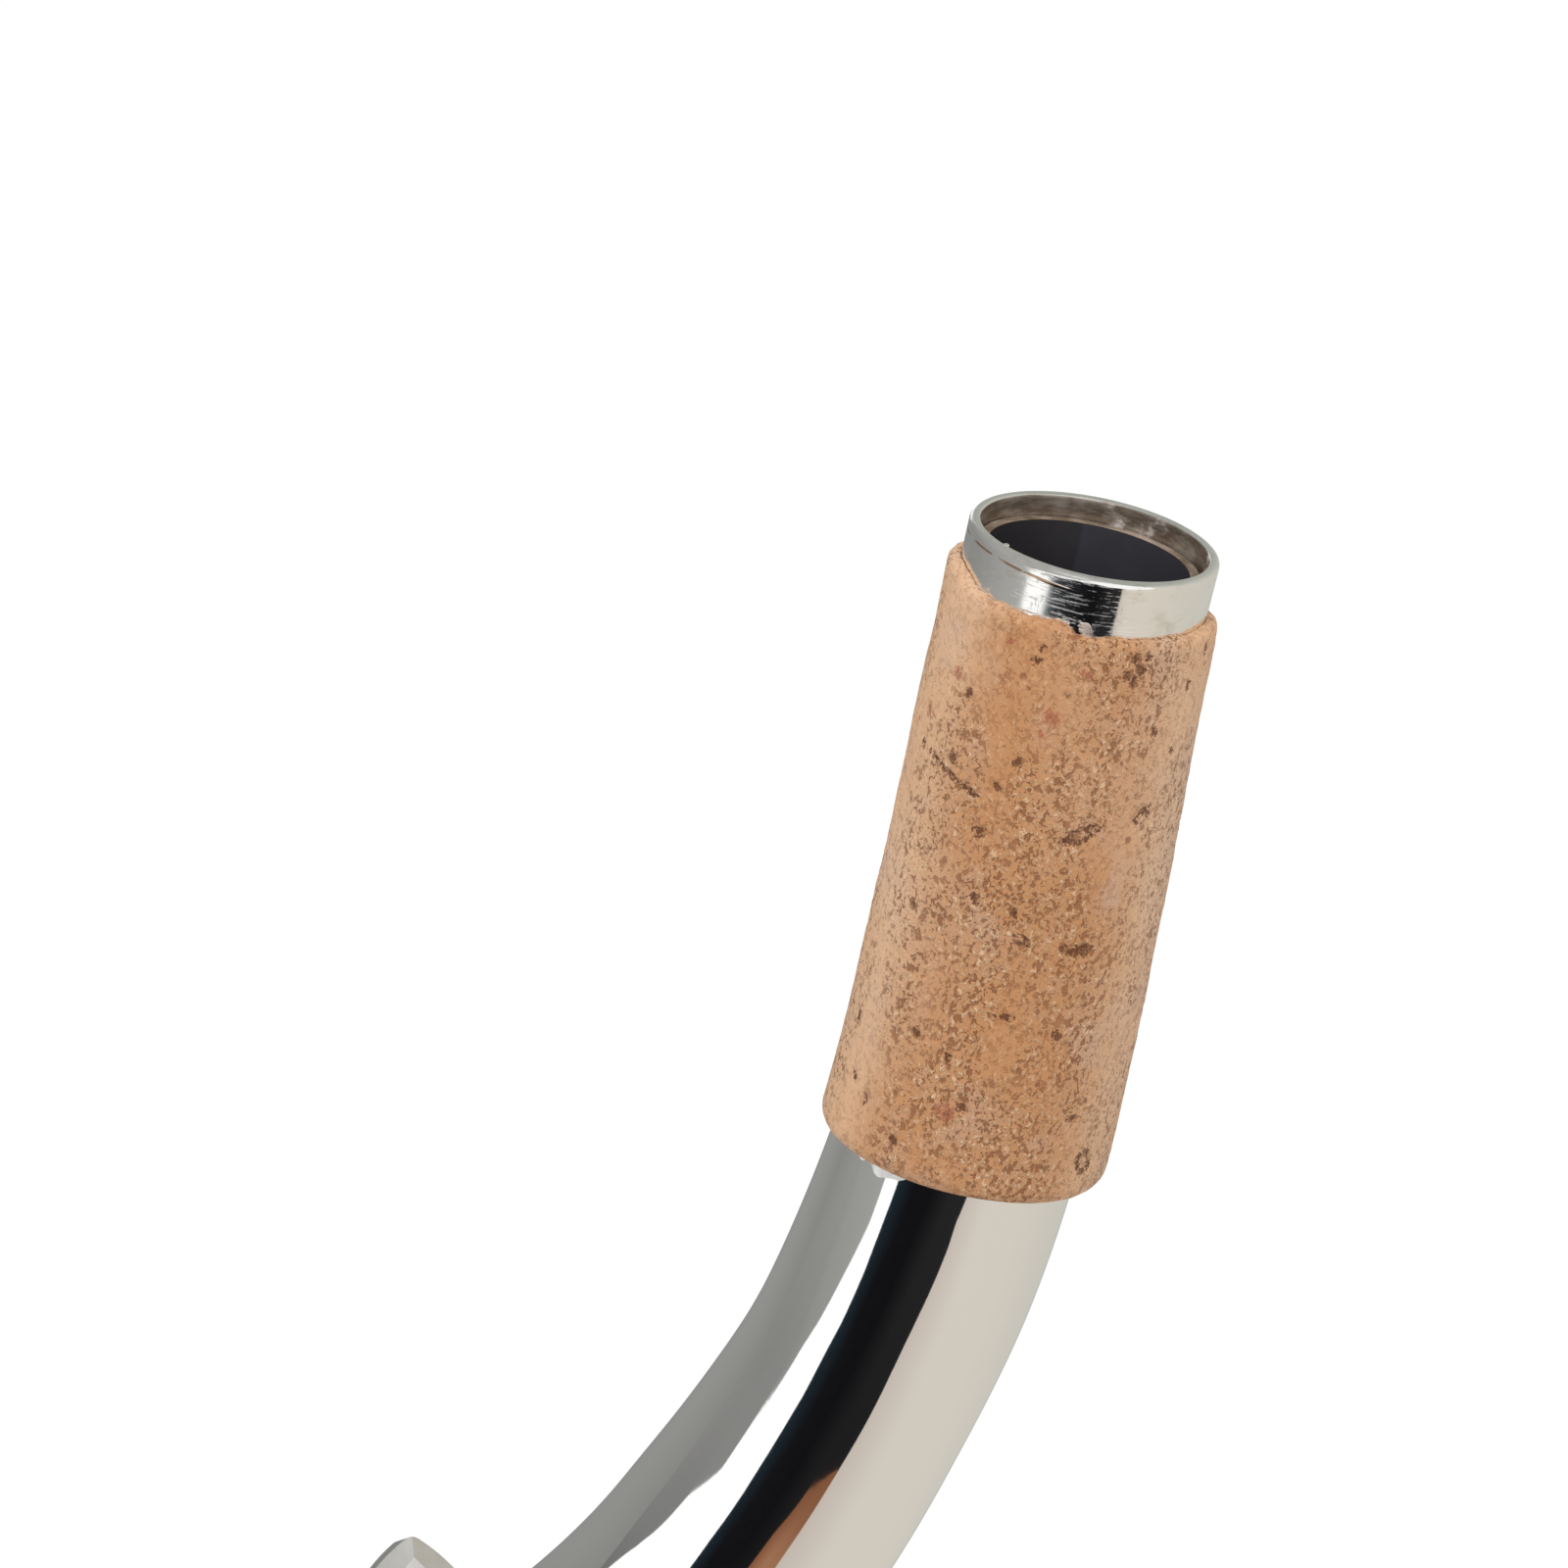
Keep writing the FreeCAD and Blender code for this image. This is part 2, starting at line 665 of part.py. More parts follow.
def put_loop_bar(sizes):
    """Both ends of the loop bar's flat underside, and the place at its root that leans with it."""
    ends = (
        ("looproot", "hinge_tube + hinge_height - loop_bar_drop"),
        ("loopend", "loop_bore_radius + loop_offset"),
    )
    for name, height in ends:
        sizes.put(name + "_height", "=" + height)
        sizes.put(name + "_under_x", "=NAME_x + NAME_height * cos(NAME_turn)".replace("NAME", name))
        sizes.put(name + "_under_z", "=NAME_z + NAME_height * sin(NAME_turn)".replace("NAME", name))
    sizes.put("loopbar_x", "=looproot_under_x")
    sizes.put("loopbar_z", "=looproot_under_z")
    sizes.put("loopbar_across", "=loopend_under_x - looproot_under_x")
    sizes.put("loopbar_down", "=looproot_under_z - loopend_under_z")
    sizes.put("loopbar_turn", "=atan(loopbar_across / loopbar_down) / 1 deg")
    sizes.put("loopbar_length", "=sqrt(pow(loopbar_across; 2) + pow(loopbar_down; 2))")


def loop_arm(shop):
    """Straight bar from the hinge tube to the loop, with a tapped hole for the spring's screw."""
    ends = [("root", "0", "loop_bar_thickness"), ("end", "0 - loopbar_length", "loop_bar")]
    sections = []
    for name, distance, thickness in ends:
        place = along("loopbar", ("0", "0", distance))
        sections.append(ridge_section(shop, "loop_arm_" + name, place, "0", thickness))
    bar = shop.loft("loop_arm_bar", sections, ruled=True)
    hole = shop.cylinder(
        "spring_tap",
        "spring_screw_radius + spring_hole_clearance",
        "spring_screw_length - spring_thickness",
        spring_screw_place(),
    )
    finished("loop_arm", shop.cut("loop_arm", rooted(shop, "loop_arm_rooted", bar), hole))


def spring_screw_place():
    """Under the loop bar, where the spring is screwed on. Its own Z points into the bar."""
    return upright("loopbar") + shifted(("spring_root + spring_screw_reach", "0", "0"))


def pad_cup(shop):
    """Turned cup that holds the pad."""
    seat = "vent_tube + vent_height + pad_thickness"
    inside = "cup_bore_radius"
    corners = [
        (inside, seat + " - cup_skirt"),
        ("cup_radius", seat + " - cup_skirt"),
        ("cup_radius", seat + " + cup_top - cup_bevel"),
        ("cup_radius - cup_bevel", seat + " + cup_top"),
        ("0", seat + " + cup_top"),
        ("0", seat),
        (inside, seat),
    ]
    finished("pad_cup", shop.turned("pad_cup", corners, upright("vent")))


def key_pad(shop):
    """Leather pad that closes the vent."""
    foot = "vent_tube + vent_height"
    corners = [
        ("0", foot),
        ("pad_radius - pad_edge", foot),
        ("pad_radius", foot + " + pad_edge"),
        ("pad_radius", foot + " + pad_thickness"),
        ("0", foot + " + pad_thickness"),
    ]
    finished("key_pad", shop.turned("key_pad", corners, upright("vent")))


def octave_loop(shop):
    """Ring around the tube with a ridge on its outside and a pointed eye on the inside of the bow."""
    outer = "loop_bore_radius + loop_bar"
    half = "loop_width / 2"
    corners = [
        ("loop_bore_radius", "0 - " + half),
        (outer + " - loop_ridge", "0 - " + half),
        (outer, "0 - " + half + " + loop_ridge"),
        (outer, half + " - loop_ridge"),
        (outer + " - loop_ridge", half),
        ("loop_bore_radius", half),
    ]
    ring = shop.turned("loop_ring", corners, along("loop", ("loop_offset", "0", "0")))
    solid = shop.fuse("loop_solid", [ring, eye_peak(shop)])
    notch = shop.cylinder(
        "eye_notch",
        "eye_notch_radius",
        "loop_width * 2",
        along("loop", ("eye_notch_x", "eye_side_offset", "0 - loop_width")),
    )
    slot = shop.box(
        "eye_slot",
        ("0 - eye_notch_x", "eye_notch_radius * 2", "loop_width * 2"),
        along("loop", ("eye_notch_x", "eye_side_offset - eye_notch_radius", "0 - loop_width")),
    )
    opening = shop.fuse("eye_opening", [notch, slot])
    notched = shop.cut("loop_notched", solid, opening)
    inside = shop.cylinder(
        "loop_inside",
        "loop_bore_radius",
        "loop_width * 2",
        along("loop", ("loop_offset", "0", "0 - loop_width")),
    )
    finished("octave_loop", shop.cut("octave_loop", notched, inside))
    return inside


def put_eye_sizes(sizes):
    """The eye's pointed outline: two flank arcs and the small arc between them that rounds its tip."""
    sizes.put("loop_bore_radius", "=loop_tube + loop_clearance")
    sizes.put("eye_flank_rise", "=sqrt(pow(eye_flank_radius; 2) - pow(eye_flank_shift; 2))")
    sizes.put("eye_tip_rise", "=sqrt(pow(eye_flank_radius - eye_tip_radius; 2) - pow(eye_flank_shift; 2))")
    sizes.put("eye_tip_x", "=0 - loop_bore_radius - eye_height + eye_tip_radius")
    sizes.put("eye_flank_x", "=eye_tip_x + eye_tip_rise")
    touch = "eye_tip_rise * eye_flank_radius / (eye_flank_radius - eye_tip_radius)"
    sizes.put("eye_touch_x", "=eye_flank_x - " + touch)
    sizes.put("eye_notch_x", "=0 - loop_bore_radius - eye_height + eye_wall + eye_notch_radius")


def eye_peak(shop):
    """The pointed part of the loop: two flanks with a rounded tip, each face falling away from a middle ridge."""
    flanks = []
    for name, sign in (("left", "-"), ("right", "+")):
        shift = "eye_side_offset %s eye_flank_shift" % sign
        spot = along("loop", ("eye_flank_x", shift, "0 - eye_thickness / 2"))
        flanks.append(shop.cylinder("eye_flank_" + name, "eye_flank_radius", "eye_thickness", spot))
    lens = shop.common("eye_lens", flanks[0], flanks[1])
    trim = shop.box(
        "eye_trim",
        ("0 - loop_bore_radius - eye_touch_x", "eye_flank_radius * 2", "eye_thickness"),
        along("loop", ("eye_touch_x", "eye_side_offset - eye_flank_radius", "0 - eye_thickness / 2")),
    )
    body = shop.common("eye_body", lens, trim)
    tip = shop.cylinder(
        "eye_tip",
        "eye_tip_radius",
        "eye_thickness",
        along("loop", ("eye_tip_x", "eye_side_offset", "0 - eye_thickness / 2")),
    )
    blank = shop.fuse("eye_blank", [body, tip])
    ridged = shop.common("eye_ridged", blank, eye_roof(shop))
    distance = "eye_hip_reach - loop_bore_radius - eye_height"
    start = along("loop", (distance, "eye_side_offset", "eye_thickness / 2"))
    hip = shop.box(
        "eye_hip",
        ("eye_height", "eye_flank_shift * 2", "eye_thickness"),
        start + shifted(("0", "0 - eye_flank_shift", "0"), "0; 1; 0", "eye_hip_angle"),
    )
    return shop.cut("eye_peak", ridged, hip)


def eye_roof(shop):
    """Block with a low gable above and below, which gives the eye its sloping faces."""
    half = "eye_thickness / 2"
    side = "eye_flank_shift"
    low = half + " - eye_flank_shift * eye_face_fall_share"
    corners = [
        ("0 - " + half, "0"),
        ("0 - (" + low + ")", side),
        (low, side),
        (half, "0"),
        (low, "0 - " + side),
        ("0 - (" + low + ")", "0 - " + side),
    ]
    sections = []
    for name, distance in (("out", "0 - loop_bore_radius - eye_height - cut_overrun"), ("in", "0")):
        place = along("loop") + shifted((distance, "eye_side_offset", "0"), "0; 1; 0", "90")
        sections.append(shop.outline("eye_roof_" + name, corners, place))
    return shop.loft("eye_roof", sections, ruled=True)


def travel_cork(shop, inside):
    """Thin cork glued inside the loop, which meets the tube when the key is fully open."""
    corner = ("loop_bore_radius + loop_offset - bumper_thickness", "0 - bumper_width / 2", "0 - bumper_length / 2")
    size = ("bumper_thickness + loop_bar", "bumper_width", "bumper_length")
    block = shop.box("bumper_block", size, along("loop", corner))
    finished("travel_cork", shop.common("travel_cork", block, inside))


def flat_spring(shop):
    """Leaf screwed flat under the loop bar, then bent down so that its free end rests on the tube."""
    bend = "0 - spring_root - spring_flat"
    places = [
        ("root", along("loopbar", ("0", "0", "0 - spring_root")), "0"),
        ("bend", along("loopbar", ("0", "0", bend)), "0"),
        ("middle", along("loopbar", ("0", "0", bend + " - spring_middle")), "0 - spring_middle_drop"),
        ("tip", along("springtip"), "springtip_tube + spring_seat + spring_thickness"),
    ]
    half = "spring_width / 2"
    sections = []
    for name, place, height in places:
        corners = [
            (height + " - spring_thickness", "0 - " + half),
            (height, "0 - " + half),
            (height, half),
            (height + " - spring_thickness", half),
        ]
        sections.append(shop.outline("spring_" + name, corners, place))
    leaf = shop.loft("spring_leaf", sections, ruled=True)
    hole = shop.cylinder(
        "spring_hole",
        "spring_screw_radius + spring_hole_clearance",
        "cut_overrun * 2",
        spring_screw_place() + shifted(("0", "0", "0 - cut_overrun")),
    )
    finished("flat_spring", shop.cut("flat_spring", leaf, hole))


def spring_screw(shop):
    """Round-headed screw that holds the spring under the loop bar."""
    seat = "0 - spring_thickness"
    corners = [
        ("0", seat + " - spring_screw_head_length"),
        ("spring_screw_head_radius", seat + " - spring_screw_head_length"),
        ("spring_screw_head_radius", seat),
        ("spring_screw_radius", seat),
        ("spring_screw_radius", seat + " + spring_screw_length - spring_hole_clearance"),
        ("0", seat + " + spring_screw_length - spring_hole_clearance"),
    ]
    finished("spring_screw", shop.turned("spring_screw", corners, spring_screw_place()))


def put_key_stations(sizes):
    put_station(sizes, "lip", "0")
    sizes.put("loop_station", "=neck_length - loop_rise")
    sizes.put("hinge_station", "=loop_station - loop_reach")
    sizes.put("vent_station", "=hinge_station - pad_reach")
    put_station(sizes, "vent", "vent_station")
    put_station(sizes, "hinge", "hinge_station")
    sizes.put("post_offset", "=hinge_tube - post_inset")
    sizes.put("plate_half_width", "=post_offset + plate_margin")
    put_station(sizes, "loop", "loop_station")
    put_eye_sizes(sizes)
    put_station(sizes, "corka", "ring_length")
    put_station(sizes, "corkb", "ring_length + cork_top_bevel_length")
    put_station(sizes, "corkc", "mouth_straight * cork_bend_share")
    put_station(sizes, "corkd", "(mouth_straight + cork_end) / 2")
    put_station(sizes, "corke", "cork_end - cork_bottom_bevel_length")
    put_station(sizes, "corkf", "cork_end - cork_bottom_round_length")
    put_station(sizes, "corkg", "cork_end")
    put_station(sizes, "armroot", "hinge_station - bar_root_overlap")
    put_station(sizes, "armmid", "(hinge_station + vent_station) / 2")
    put_station(sizes, "looproot", "hinge_station + bar_root_overlap")
    put_station(sizes, "loopend", "loop_station - loop_width / 2")
    put_station(sizes, "springtip", "hinge_station + spring_tip_reach")
    put_loop_bar(sizes)


def check(doc):
    for feature in doc.Objects:
        if "Invalid" in feature.State or "Error" in feature.State:
            raise RuntimeError("feature %s did not recompute: %s" % (feature.Name, feature.State))
    for name, feature in NODES.items():
        shape = feature.Shape
        if shape.isNull() or not shape.isValid() or not shape.Solids:
            raise RuntimeError("piece %s has no valid solid" % name)


def export():
    os.makedirs("parts", exist_ok=True)
    for name, feature in NODES.items():
        feature.Shape.exportStep("parts/%s.step" % name)
        box = feature.Shape.BoundBox
        low = [round(value, 2) for value in (box.XMin, box.YMin, box.ZMin)]
        high = [round(value, 2) for value in (box.XMax, box.YMax, box.ZMax)]
        print(name, len(feature.Shape.Solids), low, high)


doc = FreeCAD.newDocument("saxophone_neck")
sizes = SizeSheet(doc)
fill_sizes(sizes)
tube_names = tube_places(sizes)
put_key_stations(sizes)
doc.recompute()
shop = Shop(doc, sizes)
outside = neck_tube(shop, tube_names)
tip_ring(shop)
neck_cork(shop, outside)
tenon(shop)
tenon_collar(shop)
vent_pip(shop)
vent_saddle(shop, outside)
shell = post_saddle(shop, outside)
hinge_posts(shop, shell)
hinge_screw(shop)
hinge_tube(shop)
pad_arm(shop)
pad_cup(shop)
key_pad(shop)
loop_arm(shop)
inside = octave_loop(shop)
travel_cork(shop, inside)
flat_spring(shop)
spring_screw(shop)
doc.recompute()
check(doc)
export()
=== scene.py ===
import math
import random

import bmesh
import bpy
from mathutils import Matrix, Vector, noise


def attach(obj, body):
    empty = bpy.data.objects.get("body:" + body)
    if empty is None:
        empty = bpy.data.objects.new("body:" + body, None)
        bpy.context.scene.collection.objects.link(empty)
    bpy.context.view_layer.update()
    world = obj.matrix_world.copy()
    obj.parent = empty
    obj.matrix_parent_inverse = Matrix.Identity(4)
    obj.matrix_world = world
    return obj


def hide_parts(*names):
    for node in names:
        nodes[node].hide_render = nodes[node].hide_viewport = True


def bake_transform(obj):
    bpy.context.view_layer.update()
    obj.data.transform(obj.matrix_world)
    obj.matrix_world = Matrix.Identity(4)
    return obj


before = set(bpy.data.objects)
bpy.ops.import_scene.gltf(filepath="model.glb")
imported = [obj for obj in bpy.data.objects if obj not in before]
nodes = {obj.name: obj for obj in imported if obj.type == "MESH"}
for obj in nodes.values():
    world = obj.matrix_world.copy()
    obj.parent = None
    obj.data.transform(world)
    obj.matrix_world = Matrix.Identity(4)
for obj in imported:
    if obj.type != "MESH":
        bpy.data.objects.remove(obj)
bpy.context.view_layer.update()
mm = 0.001

# Neck tube
# Drawn brass tube, tapered, then bent round a former by hand and silver plated.
# The outside is buffed to a mirror; the bore is dark with tarnish.
mouth_straight = 28.2 * mm
bends = ((77.0 * mm, 25.2), (164.0 * mm, 26.2), (60.0 * mm, 16.5))
lower_straight = 7.5 * mm
bend_length = sum(radius * math.radians(turn) for radius, turn in bends)
neck_length = mouth_straight + lower_straight + bend_length
tube_start = 0.9 * mm
tube_end = neck_length + 16.9 * mm
tube_wall = 0.6 * mm
cork_end = 39.6 * mm
tube_sides = 120
edge_seam = 0.01 * mm
crisp_corner = math.radians(38)
merged = 0.0001 * mm


def bow_place(distance):
    """A place on the tube's middle line, measured from the lip. Its Z runs towards the lip, its X outward."""
    place = Matrix.Identity(4)
    left = neck_length - distance
    step = min(left, lower_straight)
    place = place @ Matrix.Translation((0, 0, step))
    left -= step
    for radius, turn in reversed(bends):
        angle = min(left, radius * math.radians(turn)) / radius
        pivot = Matrix.Translation((-radius, 0, 0))
        place = place @ pivot @ Matrix.Rotation(-angle, 4, "Y") @ pivot.inverted()
        left -= angle * radius
    return place @ Matrix.Translation((0, 0, left))


def tube_radius(distance):
    """The taper, with the slight waist and swelling that hand bending leaves."""
    upper = min(max(distance / cork_end, 0), 1)
    lower = min(max(distance - cork_end, 0) / (neck_length - lower_straight - cork_end), 1)
    waist = 0.19 * math.exp(-(((distance / mm - 60) / 8) ** 2))
    swelling = 0.10 * math.exp(-(((distance / mm - 80) / 6) ** 2))
    return (6.7 + 0.89 * upper + 3.41 * lower - waist + swelling) * mm


class Value:
    """A number, colour or direction on its way through a finish, written with ordinary sums."""

    def __init__(self, socket):
        self.socket = socket

    def node(self, kind, settings=None, inputs=None, out=0):
        """One node of this kind in the same finish, with its settings, its inputs, and the output wanted."""
        tree = self.socket.id_data
        made = tree.nodes.new("ShaderNode" + kind)
        for name, setting in (settings or {}).items():
            setattr(made, name, setting)
        for name, value in (inputs or {}).items():
            if isinstance(value, Value):
                tree.links.new(value.socket, made.inputs[name])
            else:
                made.inputs[name].default_value = value
        return Value(made.outputs[out])

    def maths(self, operation, *others):
        inputs = {0: self}
        inputs.update({place + 1: other for place, other in enumerate(others)})
        return self.node("Math", {"operation": operation}, inputs)

    def __add__(self, other):
        return self.maths("ADD", other)

    __radd__ = __add__

    def __sub__(self, other):
        return self.maths("SUBTRACT", other)

    def __rsub__(self, other):
        return self.node("Math", {"operation": "SUBTRACT"}, {0: other, 1: self})

    def __mul__(self, other):
        return self.maths("MULTIPLY", other)

    __rmul__ = __mul__

    def __gt__(self, other):
        return self.maths("GREATER_THAN", other)

    def step(self, low, high):
        """From 0 to 1 as the value goes from low to high, with soft ends."""
        return self.node("MapRange", {"interpolation_type": "SMOOTHSTEP"}, {0: self, 1: low, 2: high})

    def blend(self, first, second):
        """A colour between two, by this share of the second."""
        return self.node("Mix", {"data_type": "RGBA"}, {0: self, 6: first, 7: second}, out=2)

    def part(self, out):
        """One of the three numbers in a place or colour."""
        return self.node("SeparateXYZ", {}, {0: self}, out)

    def speckle(self, scale, detail=2.0, rough=0.5, stretch=(1, 1, 1), turn=(0, 0, 0), bend=0.0):
        """Noise over the piece, of so many cells a metre, from 0 to 1."""
        moved = self.node("Mapping", {}, {"Vector": self, "Scale": stretch, "Rotation": turn})
        inputs = {"Vector": moved, "Scale": scale, "Detail": detail, "Roughness": rough, "Distortion": bend}
        return moved.node("TexNoise", {"normalize": True}, inputs)

    def cells(self, scale):
        """How far a point is from the nearest of scattered points, of so many a metre."""
        return self.node("TexVoronoi", {"feature": "F1"}, {"Vector": self, "Scale": scale})

    def raised(self, height):
        """Normal of a surface that this height, in metres, stands up from."""
        return self.node("Bump", {}, {"Height": self, "Strength": 1.0, "Distance": height})


def layer(shader, name):
    """Three numbers that were laid on the mesh itself."""
    made = shader.id_data.nodes.new("ShaderNodeAttribute")
    made.attribute_name = name
    return Value(made.outputs["Vector"])


def bare_finish(name):
    """A new material with nothing in it yet, and its tree."""
    material = bpy.data.materials.new(name)
    material.use_nodes = True
    material.node_tree.nodes.clear()
    return material, material.node_tree


def finish(name):
    """A new finish: its shader, and where on the piece a point lies."""
    material, tree = bare_finish(name)
    shader = tree.nodes.new("ShaderNodeBsdfPrincipled")
    output = tree.nodes.new("ShaderNodeOutputMaterial")
    tree.links.new(shader.outputs[0], output.inputs[0])
    spot = Value(tree.nodes.new("ShaderNodeTexCoord").outputs["Object"])
    return material, shader, spot


def feed(shader, **inputs):
    """Set the shader's sockets, by their names with underlines for spaces."""
    for name, value in inputs.items():
        socket = shader.inputs[name.replace("_", " ")]
        if isinstance(value, Value):
            socket.id_data.links.new(value.socket, socket)
        else:
            socket.default_value = value


def set_down(name, bm, *materials):
    """The finished mesh as an object in the scene."""
    mesh = bpy.data.meshes.new(name)
    bm.to_mesh(mesh)
    bm.free()
    for material in materials:
        mesh.materials.append(material)
    made = bpy.data.objects.new(name, mesh)
    bpy.context.scene.collection.objects.link(made)
    return made


def piece(name, bm, body, *materials):
    """A smooth piece with crisp corners, which rides on its body, or on none."""
    for edge in bm.edges:
        edge.smooth = not edge.is_manifold or edge.calc_face_angle() < crisp_corner
    made = set_down(name, bm, *materials)
    made.data.shade_smooth()
    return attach(made, body) if body else made


def outline(corners, cuts):
    """A closed outline of (out, up) corners, with each side cut so many times."""
    bm = bmesh.new()
    verts = []
    for (out, up), (next_out, next_up), number in zip(corners, corners[1:] + corners[:1], cuts):
        for step in range(number + 1):
            share = step / (number + 1)
            verts.append(bm.verts.new((out + (next_out - out) * share, 0, up + (next_up - up) * share)))
    for place in range(len(verts)):
        bm.edges.new((verts[place - 1], verts[place]))
    return bm


def turned(bm, sides):
    """The outline turned once round Z."""
    bmesh.ops.spin(
        bm, geom=bm.verts[:] + bm.edges[:], axis=(0, 0, 1), cent=(0, 0, 0),
        steps=sides, angle=math.tau, use_merge=True,
    )
    bmesh.ops.remove_doubles(bm, verts=bm.verts, dist=merged)
    bmesh.ops.recalc_face_normals(bm, faces=bm.faces)
    return bm


def bent(bm, line):
    """Bend a piece that was made straight, hanging down from the lip. Its straight places stay for the grain."""
    straight = bm.verts.layers.float_vector.new("straight")
    places = {}
    for vert in bm.verts:
        vert[straight] = vert.co
        height = round(vert.co.z, 5)
        if height not in places:
            places[height] = line(-height)
        vert.co = places[height] @ Vector((vert.co.x, vert.co.y, 0))
    return bm


silver, shader, spot = finish("silver_plate")
polish = spot.speckle(900, 3, 0.6)
haze = spot.speckle(60, 3, 0.6)
feed(
    shader,
    Base_Color=haze.blend((0.93, 0.925, 0.91, 1), (0.96, 0.955, 0.945, 1)),
    Metallic=1.0,
    Roughness=0.025 + haze * 0.03,
    Normal=polish.raised(0.0000005),
)

dark_bore, shader, spot = finish("tarnished_bore")
straight = layer(shader, "straight")
stain = straight.speckle(220, 4, 0.6)
blue_side = straight.part(1).step(2.5 * mm, 2.7 * mm) * 0.75 + stain.step(0.4, 0.7) * 0.25
feed(
    shader,
    Base_Color=blue_side.blend((0.042, 0.038, 0.042, 1), (0.066, 0.066, 0.083, 1)),
    Metallic=0.15,
    Roughness=0.42 + stain * 0.2,
    Normal=stain.raised(0.00003),
)

tube_edge, shader, spot = finish("tarnished_tube_edge")
stain = spot.speckle(500, 5, 0.65)
feed(
    shader,
    Base_Color=stain.step(0.38, 0.66).blend((0.30, 0.22, 0.14, 1), (0.72, 0.58, 0.48, 1)),
    Metallic=0.6,
    Roughness=0.35,
    Normal=stain.raised(0.00005),
)

bm = outline(
    ((0, -tube_start), (0, -tube_end), (-tube_wall, -tube_end), (-tube_wall, -tube_start)),
    (170, 0, 60, 0),
)
for vert in bm.verts:
    vert.co.x += tube_radius(-vert.co.z)
turned(bm, tube_sides)
for face in bm.faces:
    middle = face.calc_center_median()
    if abs(middle.z + tube_start) < edge_seam:
        face.material_index = 2
    elif middle.xy.length < tube_radius(-middle.z) - tube_wall / 2:
        face.material_index = 1
tube = piece("tube", bent(bm, bow_place), "neck", silver, dark_bore, tube_edge)
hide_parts("neck_tube")

# Tip ring
# Turned nickel silver ring, soldered over the tube's end to stiffen it. Years of mouthpieces
# have scratched it, its inside is brown with tarnish, and a fleck of solder sits on the lip.
ring_foot = 4.0 * mm
lip_height = 0.5 * mm
lip_shift = 0.12 * mm
ring_outside = 7.55 * mm
ring_foot_outside = 7.52 * mm
ring_foot_inside = 6.82 * mm
lip_inside = 6.88 * mm
lip_round_outside = 0.36 * mm
lip_round_inside = 0.22 * mm
ring_sides = 144
tarnish_reach = 6.93 * mm
tarnish_below_lip = 0.1 * mm
on_lip = 0.001 * mm
fleck_angle = math.radians(-78)
fleck_reach = 7.02 * mm
fleck_size = 0.17 * mm
fleck_sunk = 0.06 * mm
fleck_lumps = 0.06 * mm

worn, shader, spot = finish("worn_ring_plate")
straight = layer(shader, "straight")
round_lines = straight.speckle(420, 5, 0.75, stretch=(1, 1, 14))
cross_lines = straight.speckle(520, 4, 0.72, stretch=(1, 7, 1.3), turn=(0.7, 0, 0.5))
smear = straight.speckle(420, 5, 0.7, stretch=(1, 1, 1.6))
lower = straight.part(2).step(-1.4 * mm, -2.9 * mm)
left_side = straight.part(1).step(-2.2 * mm, -4.6 * mm)
glue = (smear + lower * 0.16).step(0.64, 0.74) * left_side
off_line = (straight.part(2) + straight.part(1) * 0.10 + 0.95 * mm).maths("ABSOLUTE")
drawn = off_line.step(0.11 * mm, 0.03 * mm)
line = drawn * straight.part(1).step(-4.0 * mm, -5.2 * mm) * smear.step(0.40, 0.52)
worn_side = straight.part(1).step(-3.2 * mm, -4.6 * mm)
round_wear = round_lines.step(0.54, 0.70) * (0.5 + worn_side * 0.3)
scratch = round_wear + cross_lines.step(0.58, 0.74) * (0.3 + worn_side * 0.6)
plate = smear.step(0.5, 0.8).blend((0.94, 0.93, 0.905, 1), (0.74, 0.70, 0.63, 1))
feed(
    shader,
    Base_Color=glue.blend(line.blend(plate, (0.50, 0.30, 0.17, 1)), (0.72, 0.50, 0.34, 1)),
    Metallic=1.0 - glue * 0.9,
    Roughness=0.06 + scratch * 0.18 + worn_side * 0.07 + glue * 0.5,
    Normal=(scratch * 0.4 + glue * 2.0 + line * 0.6).raised(0.000016),
)

# Inside of the ring: brown tarnish, with pale pink-white patches that are painted highlights, strongest on the
# wall's +Y side below the lip. The metal is made less metallic there so that the patches catch the lamp.
inside_tarnish_and_highlights, shader, spot = finish("ring_inside_tarnish_and_painted_highlights")
straight = layer(shader, "straight")
brown = straight.speckle(300, 5, 0.7, stretch=(1, 1, 3.5))
back = straight.part(1).step(3.4 * mm, 5.0 * mm) * straight.part(1).step(6.85 * mm, 6.4 * mm)
painted_highlights = (straight.speckle(260, 4, 0.68, stretch=(1, 1, 1.6)) + back * 0.10).step(0.52, 0.64)
painted_highlights = painted_highlights * (0.15 + back * 0.85)
rubbed = brown.step(0.36, 0.66).blend((0.22, 0.165, 0.12, 1), (0.50, 0.43, 0.37, 1))
feed(
    shader,
    Base_Color=painted_highlights.blend(rubbed, (0.93, 0.86, 0.84, 1)),
    Metallic=0.65 - painted_highlights * 0.35,
    Roughness=0.26 + brown * 0.22,
    Normal=brown.raised(0.00004),
)



def lies_on_lip(vert, reach):
    """Whether this corner is on the lip's flat top, this far from the middle."""
    return vert.co.z > lip_height - on_lip and abs(vert.co.xy.length - reach) < on_lip


